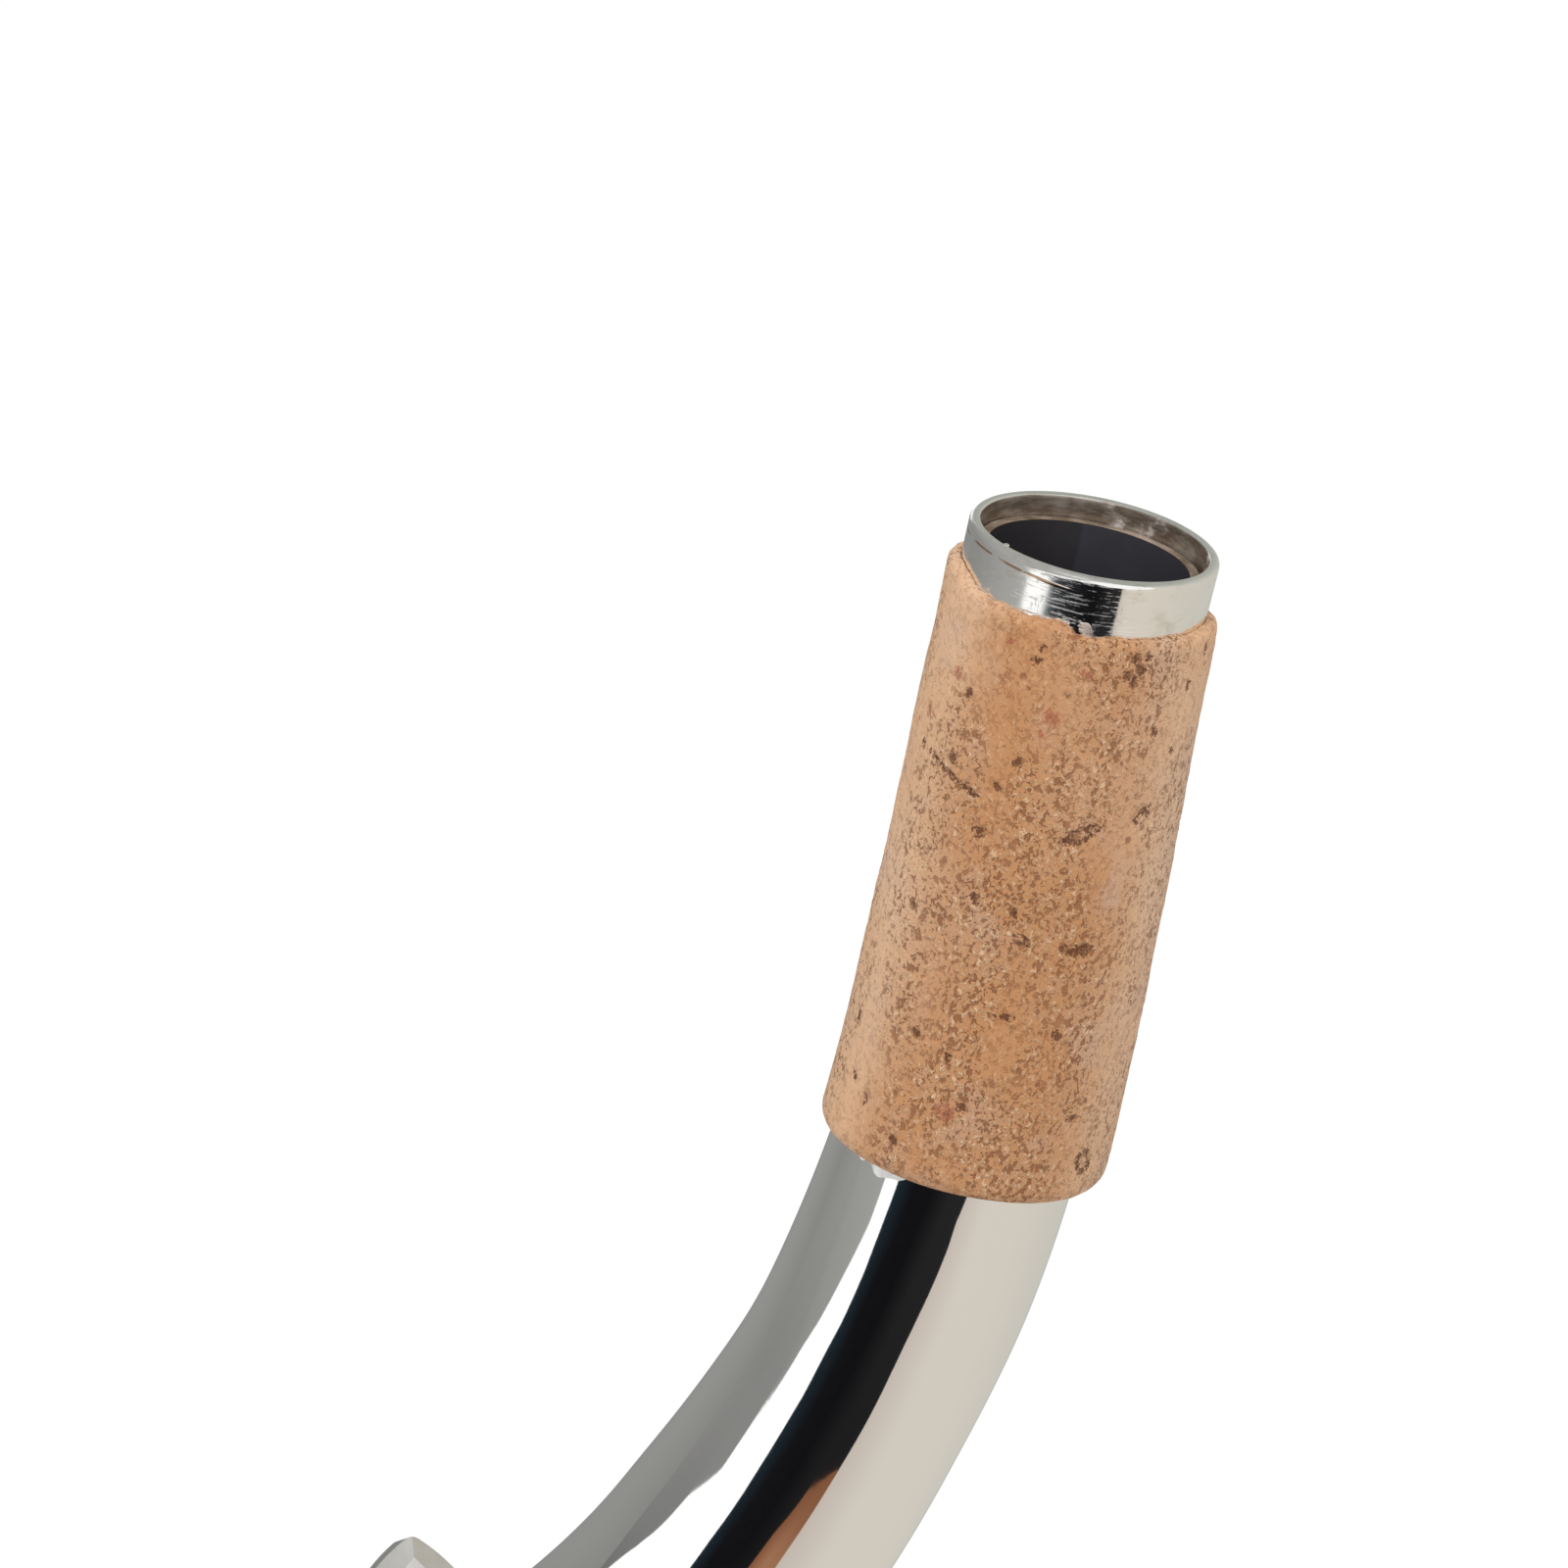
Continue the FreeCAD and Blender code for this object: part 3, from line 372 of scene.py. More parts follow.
bm = outline(
    (
        (ring_foot_inside, -ring_foot), (ring_foot_outside, -ring_foot),
        (ring_outside, lip_height), (lip_inside, lip_height),
    ),
    (0, 9, 0, 9),
)
turned(bm, ring_sides)
for size, reach in ((lip_round_outside, ring_outside), (lip_round_inside, lip_inside)):
    lip_edges = [edge for edge in bm.edges if all(lies_on_lip(vert, reach) for vert in edge.verts)]
    bmesh.ops.bevel(
        bm, geom=lip_edges, offset=size, offset_type="OFFSET", affect="EDGES",
        segments=6, profile=0.5, material=-1,
    )
for face in bm.faces:
    middle = face.calc_center_median()
    inside = middle.xy.length < tarnish_reach and middle.z < lip_height - tarnish_below_lip
    face.material_index = 1 if inside else 0
fleck_place = Matrix.Translation((
    fleck_reach * math.cos(fleck_angle), fleck_reach * math.sin(fleck_angle), lip_height - fleck_sunk,
))
solder = bmesh.ops.create_icosphere(
    bm, subdivisions=3, radius=fleck_size, matrix=fleck_place @ Matrix.Diagonal((1, 1.5, 1, 1)),
)
for vert in solder["verts"]:
    vert.co += vert.co.normalized() * noise.noise(vert.co * 7000) * fleck_lumps
for vert in bm.verts:
    vert.co.y += lip_shift * (vert.co.z + ring_foot) / ring_foot
tip = piece("tip_ring_turned", bent(bm, bow_place), "neck", worn, inside_tarnish_and_highlights)
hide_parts("tip_ring")

# Cork
# Sheet of natural cork, wrapped round the tube, glued and sanded to a taper by hand.
# It is pitted and stained, chipped where it meets the ring, and rounded at its lower end.
cork_shift = 0.18 * mm
cork_lean = 44 * mm
cork_under_ring = 7.54 * mm
cork_glue_line = 0.03 * mm
cork_foot_distance = 40.32 * mm
cork_mark_depth = 0.13 * mm
cork_top_round = 0.58 * mm
cork_end_round = 1.25 * mm
# Angle round the tube, and how far below the lip the cork's upper edge lies there.
cork_edge_places = (
    (-180, 2.4), (-140, 2.3), (-120, 2.05), (-104, 2.0), (-95, 2.15), (-84, 2.55), (-75, 2.68), (-54, 2.71),
    (-36, 2.54), (-30, 3.08), (-14, 2.98), (2, 2.93), (37, 2.9), (60, 3.1), (80, 3.4), (110, 3.2), (180, 2.4),
)
hidden_mark_sizes = {"hole": 0.28, "stain": 0.45, "patch": 0.8, "ring": 0.6}


def cork_place(distance):
    """Cork is sanded straighter than the tube bends, so it leans halfway between the two."""
    bow = bow_place(distance)
    lip = bow_place(0.0)
    straight = lip @ Matrix.Translation((0, 0, -distance))
    middle = straight.translation.lerp(bow.translation, 0.5)
    turn = straight.to_quaternion().slerp(bow.to_quaternion(), 0.5)
    aside = Matrix.Translation((0, cork_shift * math.sin(math.pi * max(distance, 0) / cork_lean), 0))
    return Matrix.Translation(middle) @ turn.to_matrix().to_4x4() @ aside


def cork_top(angle):
    """How far below the lip the cork's chipped upper edge lies, round the tube."""
    for (low, first), (high, second) in zip(cork_edge_places, cork_edge_places[1:]):
        if low <= angle <= high:
            share = (angle - low) / (high - low)
            return (first + (second - first) * share) * mm
    return cork_edge_places[0][1] * mm


def cork_foot(turn, radius):
    """How far below the lip the cork's lower end lies. It was cut a little askew."""
    askew = math.tan(math.radians(6.27)) * math.cos(turn) - math.tan(math.radians(3.19)) * math.sin(turn)
    return cork_foot_distance - askew * radius


# Each mark: how far below the lip, angle round the tube, length, width, tilt, and what it is.
cork_marks = [
    (8.2, -34, 0.55, 0.45, 20, "stain"), (9.3, -37, 0.35, 0.22, 60, "stain"),
    (11.4, -44, 0.30, 0.25, 0, "hole"), (13.3, -82, 0.18, 0.8, -14, "hole"),
    (13.7, -72, 0.20, 1.0, -14, "hole"), (14.1, -62, 0.16, 0.7, -14, "hole"),
    (12.7, -73, 0.35, 0.25, 20, "hole"), (15.2, -13, 0.42, 1.05, 28, "ring"),
    (14.0, 14, 0.38, 0.75, 45, "ring"), (22.3, -28, 0.28, 0.42, -20, "ring"),
    (22.6, -6, 0.32, 0.75, -10, "hole"), (22.4, -2, 0.22, 0.45, 0, "hole"),
    (8.5, 11, 0.30, 0.22, 20, "hole"), (13.2, -51, 0.25, 0.30, 0, "hole"),
    (16.3, -54, 0.35, 0.40, 0, "hole"), (25.3, -60, 0.45, 0.60, 0, "patch"),
    (22.5, -78, 0.25, 0.20, 0, "hole"), (20.7, -33, 0.30, 0.20, 30, "hole"),
    (20.4, -50, 0.28, 0.30, 0, "hole"), (13.0, -94, 0.30, 0.20, 0, "hole"),
    (34.0, -43, 0.55, 0.50, 30, "stain"), (33.4, -37, 0.30, 0.25, 0, "hole"),
    (35.5, -79, 0.35, 0.20, 0, "hole"), (34.8, -89, 0.30, 0.20, 20, "hole"),
    (36.9, -61, 0.25, 0.25, 0, "hole"), (33.5, 10, 0.14, 0.40, 0, "hole"),
    (36.7, 23, 0.75, 0.55, 35, "ring"), (4.2, -43, 0.22, 0.25, 0, "hole"),
    (5.0, -45, 0.20, 0.35, 30, "hole"), (3.8, 1, 0.20, 0.30, 0, "hole"), (4.6, -1, 0.30, 0.32, 0, "hole"),
    (3.9, -4, 0.35, 0.30, 0, "hole"), (5.4, -3, 0.35, 0.28, 0, "hole"), (4.9, -7, 0.30, 0.25, 0, "hole"),
    (5.2, -23, 0.20, 0.55, -20, "stain"), (5.9, 28, 0.40, 0.14, 0, "hole"),
    (3.9, 38, 0.40, 0.18, 0, "hole"), (8.5, -72, 0.35, 0.22, 0, "hole"), (4.4, -57, 0.3, 0.4, 15, "stain"),
    (10.9, -95, 0.5, 0.25, 0, "stain"), (7.6, -80, 0.4, 0.35, 0, "stain"),
    (27.3, -28, 0.16, 0.65, 0, "hole"), (28.1, -6, 0.30, 0.26, 0, "hole"),
    (29.9, -62, 0.30, 0.24, 0, "hole"), (30.6, -47, 0.26, 0.22, 0, "hole"),
    (31.4, -98, 0.45, 0.20, 0, "hole"), (17.6, 35, 0.45, 0.35, 0, "patch"),
    (10.0, 24, 0.22, 0.20, 0, "hole"), (26.4, -76, 0.45, 0.40, 0, "patch"),
    (18.6, -72, 0.60, 0.45, 0, "patch"), (6.4, -62, 0.8, 0.7, 0, "patch"),
    (11.6, -62, 1.1, 0.8, 0, "patch"), (23.4, -52, 0.8, 0.7, 0, "patch"), (19.0, 6, 0.8, 0.6, 0, "patch"),
    (21.6, -42, 0.8, 0.5, 0, "patch"), (27.8, -62, 0.9, 0.6, 0, "patch"), (31.6, -84, 0.9, 0.5, 0, "patch"),
]
seed = random.Random(7)
for number in range(120):
    far = seed.random()
    angle = seed.uniform(50, 250)
    angle -= 360 if angle > 180 else 0
    kind = seed.choice(("hole", "hole", "stain", "patch", "patch", "patch", "ring"))
    size = hidden_mark_sizes[kind] * seed.uniform(0.7, 1.5)
    width = size * seed.uniform(0.6, 1.4)
    cork_marks.append((4 + 34 * far, angle, size, width, seed.uniform(-60, 60), kind))
rows = {}
for mark in cork_marks:
    for row in range(int(mark[0]) - 3, int(mark[0]) + 4):
        rows.setdefault(row, []).append(mark)


def marked(distance, angle, wobble):
    """How deep the hole, how strong the red stain and how pale the patch is at one place on the cork."""
    found = {"hole": 0.0, "stain": 0.0, "patch": 0.0}
    for down, around, length, width, tilt, kind in rows.get(int(distance / mm), ()):
        up = distance / mm - down
        across = ((angle - around + 180) % 360 - 180) * 0.145
        if abs(up) > 2.6 or abs(across) > 2.6:
            continue
        turn = math.radians(tilt)
        one = (up * math.cos(turn) + across * math.sin(turn)) / length
        two = (across * math.cos(turn) - up * math.sin(turn)) / width
        off = math.hypot(one, two) + wobble * 0.45
        if kind == "ring":
            amount = max(0.0, 1 - abs(off - 0.9) / 0.5) * (0.45 + 0.55 * (wobble > -0.12))
            found["hole"] = max(found["hole"], amount)
        else:
            amount = min(1.0, max(0.0, (1.5 - off) / 1.2))
            found[kind] = max(found[kind], amount)
    return found["hole"], found["stain"], found["patch"]


sanded, shader, spot = finish("sanded_cork")
straight = layer(shader, "straight")
marks = layer(shader, "marks")
# Painted shading: the cork is painted deeper orange on the side towards the camera, and paler round its sides as
# a painted sheen. The front also gets a little more worked grain and fewer pale patches.
front_painted_shading = (straight.part(0) * 0.866 - straight.part(1) * 0.5).step(4.5 * mm, 8.0 * mm)
low_end = straight.part(2).step(-14 * mm, -32 * mm)
zone = (straight.speckle(150, 3, 0.6, stretch=(1, 1, 0.42), turn=(0, 0.2, 0)) + front_painted_shading * 0.05).step(0.42, 0.60)
broad = straight.speckle(90, 3, 0.5, stretch=(1, 1, 0.8))
patch = straight.speckle(210, 4, 0.6)
grain = straight.speckle(3500, 2, 0.62, stretch=(1, 1, 0.8), bend=0.6)
tiny = straight.speckle(7000, 2, 0.6)
knots = straight.speckle(1600, 3, 0.66)
flecks = straight.cells(720)
worked = 0.30 + zone * 0.70
mixed = grain * 0.62 + knots * 0.38
# The grain's relief is also painted into the colour: painted shade in its dents and painted highlights on its
# crumbs, besides the bump.
dents_and_painted_shade = mixed.step(0.475, 0.40) * worked
crumbs_and_painted_highlights = (grain * 0.78 + tiny * 0.22).step(0.53, 0.61) * worked
spots = flecks.step(0.24, 0.08) * knots.step(0.48, 0.58)
ragged = (grain - 0.5) * 5.0 + (tiny - 0.5) * 2.0
holes = (marks.part(0) + ragged * marks.part(0).step(0.0, 0.30)).step(0.30, 0.80)
stains = (marks.part(1) + ragged * marks.part(1).step(0.0, 0.30) * 0.7).step(0.20, 0.80)
pale = (marks.part(2) * 0.35 + patch.step(0.50, 0.68) * 0.65) * (0.6 + knots * 0.8) * (1 - front_painted_shading * 0.45)
# Pale colours for the sides and deep colours for the front: painted shading.
warm = front_painted_shading.blend((0.770, 0.500, 0.325, 1), (0.615, 0.328, 0.168, 1))
orange = front_painted_shading.blend((0.730, 0.440, 0.255, 1), (0.570, 0.272, 0.118, 1))
colour = (broad.step(0.40, 0.62) * (1 - low_end * 0.5)).blend(orange, warm)
colour = pale.blend(colour, (0.640, 0.420, 0.300, 1))
colour = (crumbs_and_painted_highlights * 0.68).blend(colour, (0.830, 0.560, 0.350, 1))
colour = (dents_and_painted_shade * 0.80).blend(colour, (0.270, 0.090, 0.034, 1))
colour = (spots * 0.66).blend(colour, (0.220, 0.075, 0.028, 1))
colour = (stains * 0.72).blend(colour, (0.400, 0.110, 0.060, 1))
colour = (holes * (0.55 + knots * 0.6)).blend(colour, (0.140, 0.038, 0.015, 1))
feed(
    shader,
    Base_Color=colour,
    Metallic=0.0,
    Roughness=0.78,
    Specular_IOR_Level=0.25,
    Normal=(crumbs_and_painted_highlights * 0.6 + grain * 0.5 - dents_and_painted_shade * 0.9 - holes * 1.2 - spots * 0.8).raised(0.00010),
)

# The outline is drawn one unit off the axis: out runs through the sheet, down along the tube.
bm = turned(outline(((1, 0), (2, 0), (2, -1), (1, -1)), (2, 190, 3, 40)), 300)
marks = bm.verts.layers.float_vector.new("marks")
for vert in bm.verts:
    turn = math.atan2(vert.co.y, vert.co.x)
    angle = math.degrees(turn)
    out = vert.co.xy.length - 1
    down = -vert.co.z
    rough = noise.noise(Vector((math.cos(turn) * 6, math.sin(turn) * 6, 3.1)))
    chip = noise.noise(Vector((math.cos(turn) * 21, math.sin(turn) * 21, 1.7)))
    top = cork_top(angle) + (0.10 * rough + 0.16 * chip * (0.35 + 0.65 * (-80 < angle < -30))) * mm
    full = tube_radius(top + down * (cork_end - top)) + (1.48 - 0.08 * down) * mm
    foot = cork_foot(turn, full - cork_end_round * 0.4)
    if down < 0.02:
        swing = down / 0.02 * math.pi / 2
        radius = full - cork_top_round * (1 - math.sin(swing))
        distance = top + cork_top_round * (1 - math.cos(swing))
    elif down > 0.94:
        swing = (down - 0.94) / 0.06 * math.pi / 2
        radius = full - cork_end_round * (1 - math.cos(swing))
        distance = foot - cork_end_round * (1 - math.sin(swing))
    else:
        radius = full
        share = (down - 0.02) / 0.92
        distance = top + cork_top_round + share * (foot - cork_end_round - top - cork_top_round)
    if out < 0.999:
        distance = top + down * (foot - top)
        under_ring = distance < ring_foot + 0.05 * mm
        inner = cork_under_ring if under_ring else tube_radius(distance) + cork_glue_line
        radius = inner + out * (radius - inner)
    else:
        spot = Vector((math.cos(turn) * 8.4, math.sin(turn) * 8.4, distance / mm))
        hole, stain, pale_patch = marked(distance, angle, noise.noise(spot * 2.4))
        vert[marks] = (hole, stain, pale_patch)
        uneven = 0.07 * noise.noise(spot * 0.22) + 0.03 * noise.noise(spot * 0.9)
        uneven += 0.02 * noise.noise(spot * 2.1)
        radius += uneven * mm - cork_mark_depth * hole
    vert.co = (math.cos(turn) * radius, math.sin(turn) * radius, -distance)
sleeve = piece("cork_sleeve", bent(bm, cork_place), "neck", sanded)
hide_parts("neck_cork")

# Glue at the cork's lower edge
# A little clear glue was squeezed out when the cork was wrapped,
# and dried as a lumpy bead on the tube.
# Its whitish colour is a painted reflection of the white surroundings at the cork's edge.
glue_start, glue_end = -104, -46
glue_top = 0.5 * mm
glue_foot = -0.72 * mm
glue_inside = -0.10 * mm
glue_outside = 0.46 * mm
glue_reach = 7.62 * mm
glue_seat = 7.52 * mm
glue_lift = 0.1 * mm

# Whitish colour: a painted reflection.
glue_bead_painted_reflection, shader, spot = finish("glue_bead_painted_reflection")
lumps = spot.speckle(900, 3, 0.6)
feed(
    shader,
    Base_Color=lumps.blend((0.80, 0.79, 0.76, 1), (0.95, 0.94, 0.92, 1)),
    Metallic=0.0,
    Roughness=0.18 + lumps * 0.2,
    Coat_Weight=0.6,
    Normal=lumps.raised(0.00005),
)
bm = outline(((glue_inside, glue_top), (glue_outside, glue_top), (glue_inside, glue_foot)), (2, 4, 2))
bmesh.ops.translate(bm, verts=bm.verts, vec=(glue_reach, 0, -cork_end))
turn_to_start = Matrix.Rotation(math.radians(glue_start), 3, "Z")
bmesh.ops.rotate(bm, verts=bm.verts, cent=(0, 0, 0), matrix=turn_to_start)
bmesh.ops.contextual_create(bm, geom=bm.edges[:])
bmesh.ops.spin(
    bm, geom=bm.verts[:] + bm.edges[:] + bm.faces[:], axis=(0, 0, 1), cent=(0, 0, 0),
    steps=60, angle=math.radians(glue_end - glue_start), use_merge=False,
)
bmesh.ops.recalc_face_normals(bm, faces=bm.faces)
for vert in bm.verts:
    turn = math.atan2(vert.co.y, vert.co.x)
    share = (math.degrees(turn) - glue_start) / (glue_end - glue_start)
    full = math.sin(math.pi * min(max(share, 0.02), 0.98)) ** 0.5
    full *= 0.75 + 0.5 * noise.noise(Vector((share * 9, 0.3, 0.1)))
    radius = glue_seat + (vert.co.xy.length - glue_seat) * full
    height = glue_top + (vert.co.z + cork_end - glue_top) * full
    foot = cork_foot(turn, 7.7 * mm)
    vert.co = (math.cos(turn) * radius, math.sin(turn) * radius, height - foot - glue_lift)
bead = piece("painted_reflection_glue_bead", bent(bm, cork_place), "neck", glue_bead_painted_reflection)

# Tenon and collar
# Turned brass, silver plated. The tenon is dulled by years of turning in the socket it fits.


def dress(material, *names):
    """Give the solids of these names this finish."""
    for name in names:
        nodes[name].data.materials.clear()
        nodes[name].data.materials.append(material)


fitted, shader, spot = finish("turned_plate")
rings = spot.speckle(90, 3, 0.65, stretch=(1, 1, 45))
rub = spot.speckle(120, 4, 0.65, stretch=(1, 1, 6))
brassy = (rub - spot.part(2) * 6).step(0.66, 0.86)
feed(
    shader,
    Base_Color=brassy.blend((0.92, 0.91, 0.89, 1), (0.86, 0.76, 0.56, 1)),
    Metallic=1.0,
    Roughness=0.10 + rings * 0.14 + rub.step(0.5, 0.8) * 0.15,
    Normal=(rings * 0.7 + rub * 0.3).raised(0.000014),
)
polished, shader, spot = finish("polished_collar")
turned_lines = spot.speckle(110, 3, 0.6, stretch=(1, 1, 30))
tarnish_film = spot.speckle(180, 4, 0.6)
feed(
    shader,
    Base_Color=tarnish_film.step(0.5, 0.8).blend((0.93, 0.925, 0.91, 1), (0.84, 0.80, 0.72, 1)),
    Metallic=1.0,
    Roughness=0.05 + tarnish_film * 0.06,
    Normal=turned_lines.raised(0.000003),
)
dress(fitted, "tenon")
dress(polished, "tenon_collar")

# Vent, saddles and posts
# Small brass pieces, turned or filed, soft soldered to the bow before plating.
# Patches of tarnish lie over them.
soldered, shader, spot = finish("soldered_plate")
film = spot.speckle(420, 4, 0.65)
filed = spot.speckle(700, 3, 0.6, stretch=(1, 1, 5), turn=(0, 0.5, 0))
feed(
    shader,
    Base_Color=film.step(0.46, 0.78).blend((0.93, 0.925, 0.91, 1), (0.66, 0.61, 0.53, 1)),
    Metallic=1.0,
    Roughness=0.06 + film * 0.12,
    Normal=(filed * 0.6 + film * 0.4).raised(0.000006),
)
dress(soldered, "vent_pip", "vent_saddle", "post_saddle", "hinge_post_left", "hinge_post_right")

# Octave key
# Forged brass arm, cup and loop, brazed to a hinge tube, filed by hand and silver plated.
# The pointed eye on the loop is where the pin of the body's octave key pushes.
key_plate, shader, spot = finish("hand_filed_key")
file_marks = spot.speckle(800, 3, 0.65, stretch=(1, 1, 0.25), turn=(0.3, 0.4, 0))
film = spot.speckle(260, 4, 0.65)
warm = spot.speckle(170, 3, 0.6).step(0.50, 0.74)
feed(
    shader,
    Base_Color=warm.blend((0.70, 0.70, 0.69, 1), (0.62, 0.58, 0.52, 1)),
    Metallic=1.0,
    Roughness=0.16 + film * 0.16,
    Normal=(file_marks * 0.6 + film * 0.4).raised(0.000012),
)
dress(key_plate, "hinge_tube", "pad_arm", "pad_cup", "loop_arm", "octave_loop")

# Pad
# Disc of felt and card wrapped in thin tan leather, glued in the cup.
# The vent has pressed a ring in its face.
vent_distance = neck_length - 69.83 * mm
pad_face = 13.047 * mm
pad_back = 15.2 * mm
pad_edge = 4.27 * mm
pad_crown = 0.16 * mm
pad_corner = 0.7 * mm
pad_corner_drop = 0.55 * mm
pad_side_swell = 0.04 * mm
vent_mark_reach = 2.2 * mm
vent_mark_width = 0.42 * mm
same_place = 0.001 * mm

leather, shader, spot = finish("pad_leather")
pores = spot.cells(2600)
crease = spot.speckle(900, 4, 0.65)
stained = spot.speckle(260, 3, 0.6)
feed(
    shader,
    Base_Color=stained.step(0.35, 0.7).blend((0.42, 0.25, 0.14, 1), (0.27, 0.14, 0.07, 1)),
    Roughness=0.45 + crease * 0.25,
    Specular_IOR_Level=0.35,
    Normal=(pores.step(0.05, 0.5) * 0.5 + crease).raised(0.00005),
)
bm = outline(((0, pad_back), (pad_edge, pad_back), (pad_edge, pad_face), (0, pad_face)), (6, 8, 30, 0))
for vert in bm.verts:
    out = vert.co.x
    if vert.co.z < pad_face + same_place:
        press = math.exp(-(((out - vent_mark_reach) / vent_mark_width) ** 2))
        edge = max(0, out - pad_edge + pad_corner) / pad_corner
        drop = pad_corner_drop * (1 - math.sqrt(1 - min(edge, 1) ** 2))
        vert.co.z += drop - pad_crown * (1 - press)
    elif abs(out - pad_edge) < same_place:
        share = (vert.co.z - pad_face) / (pad_back - pad_face)
        vert.co.x += pad_side_swell * (math.sin(math.pi * share) - 0.5)
turned(bm, 96)
for vert in bm.verts:
    vert.co += Vector((vert.co.x, vert.co.y, 0)) * 0.004 * noise.noise(vert.co * 900)
    vert.co.z += 0.03 * mm * noise.noise(vert.co * 700)
pad_place = bow_place(vent_distance) @ Matrix.Rotation(math.pi / 2, 4, "Y")
bmesh.ops.transform(bm, matrix=pad_place, verts=bm.verts)
pad = piece("leather_pad", bm, "octave_key", leather)
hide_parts("key_pad")

# Travel cork
# Small cork block glued inside the loop, which keeps the loop off the tube when the key opens.
# It was cut with a knife, so its edges are soft.
block_edge_round = 0.18 * mm
block_longest_edge = 0.3 * mm
rounds_of_cuts = 3
loose_corners = 0.002 * mm


def merged_copy(name):
    """The solid of this name as a mesh to work on, with its loose triangles merged."""
    bm = bmesh.new()
    bm.from_mesh(nodes[name].data)
    bmesh.ops.remove_doubles(bm, verts=bm.verts, dist=loose_corners)
    return bm


bm = merged_copy("travel_cork")
bmesh.ops.dissolve_limit(bm, angle_limit=math.radians(4), verts=bm.verts, edges=bm.edges)
bmesh.ops.bevel(
    bm, geom=bm.edges[:], offset=block_edge_round, offset_type="OFFSET", affect="EDGES",
    segments=3, profile=0.5, material=-1,
)
bmesh.ops.triangulate(bm, faces=bm.faces)
for cut in range(rounds_of_cuts):
    long_edges = [edge for edge in bm.edges if edge.calc_length() > block_longest_edge]
    bmesh.ops.subdivide_edges(bm, edges=long_edges, cuts=1, use_grid_fill=True)
    bmesh.ops.triangulate(bm, faces=bm.faces)
marks = bm.verts.layers.float_vector.new("marks")
straight = bm.verts.layers.float_vector.new("straight")
for vert in bm.verts:
    vert[straight] = vert.co
    vert[marks] = (max(0, noise.noise(vert.co * 1300) - 0.35) * 3, 0, max(0, noise.noise(vert.co * 500)))
bm.normal_update()
for vert in bm.verts:
    vert.co -= vert.normal * (0.03 + 0.03 * noise.noise(vert.co * 1500)) * mm
block = piece("travel_cork_block", bm, "octave_key", sanded)
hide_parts("travel_cork")

# Screws and spring
# Turned steel hinge screw, a small steel screw for the spring, and a flat spring of blued steel.
# The spring is screwed under the loop arm and closes the key.
steel, shader, spot = finish("turned_steel")
lines = spot.speckle(300, 3, 0.6, stretch=(1, 9, 1))
grime = spot.speckle(900, 4, 0.65)
feed(
    shader,
    Base_Color=grime.step(0.5, 0.8).blend((0.56, 0.56, 0.57, 1), (0.22, 0.18, 0.15, 1)),
    Metallic=1.0,
    Roughness=0.16 + lines * 0.2,
    Normal=lines.raised(0.000008),
)
blued, shader, spot = finish("blued_spring")
heat = spot.speckle(160, 3, 0.6)
rolled = spot.speckle(500, 3, 0.6, stretch=(6, 6, 1))
feed(
    shader,
    Base_Color=heat.step(0.35, 0.65).blend((0.035, 0.05, 0.12, 1), (0.10, 0.07, 0.13, 1)),
    Metallic=1.0,
    Roughness=0.22 + rolled * 0.15,
    Normal=rolled.raised(0.000006),
)
dress(steel, "hinge_screw", "spring_screw")

# The leaf is cut across many times.
flex_start = Vector((5.2, 0, 43.0)) * mm
flex_end = Vector((6.4, 0, 32.0)) * mm
flex_cuts = 24
bm = merged_copy("flat_spring")
for cut in range(1, flex_cuts):
    bmesh.ops.bisect_plane(
        bm, geom=bm.verts[:] + bm.edges[:] + bm.faces[:], dist=merged,
        plane_co=flex_start.lerp(flex_end, cut / flex_cuts), plane_no=(0, 0, 1),
    )
leaf = piece("spring_leaf", bm, None, blued)
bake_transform(leaf)
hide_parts("flat_spring")

# Studio
# White table and surroundings, one soft lamp, and bent cards that only the plating shows. The cards are no
# lamps: they glow with painted light and shade, and are seen only in reflections.
table_height = -18.2 * mm
table_half_size = 4.0


def seen_rays(tree):
    """1 where the camera, a mirror or clear glass looks, 0 where light is only passed on."""
    rays = tree.nodes.new("ShaderNodeLightPath")
    kinds = ("Is Camera Ray", "Is Glossy Ray", "Is Transmission Ray")
    camera_ray, glossy_ray, clear_ray = (Value(rays.outputs[kind]) for kind in kinds)
    return camera_ray + glossy_ray + clear_ray


material, tree = bare_finish("white_table")
shown = seen_rays(tree)
glow = tree.nodes.new("ShaderNodeEmission")
glow.inputs["Strength"].default_value = 1.05
matt = tree.nodes.new("ShaderNodeBsdfDiffuse")
matt.inputs["Color"].default_value = (0.88, 0.88, 0.88, 1)
mixed = shown.node("MixShader", {}, {0: shown * 0.88, 1: Value(matt.outputs[0]), 2: Value(glow.outputs[0])})
output = tree.nodes.new("ShaderNodeOutputMaterial")
tree.links.new(mixed.socket, output.inputs[0])
bm = bmesh.new()
bmesh.ops.create_grid(bm, x_segments=1, y_segments=1, size=table_half_size)
bmesh.ops.translate(bm, verts=bm.verts, vec=(0, 0, table_height))
table = set_down("table", bm, material)

world = bpy.data.worlds.new("studio")
world.use_nodes = True
bpy.context.scene.world = world
tree = world.node_tree
tree.nodes.clear()
shown = seen_rays(tree)
sky = shown.node("Background", {}, {"Color": (1, 1, 1, 1), "Strength": 0.72 + (shown > 0.5) * 0.28})
output = tree.nodes.new("ShaderNodeOutputWorld")
tree.links.new(sky.socket, output.inputs[0])

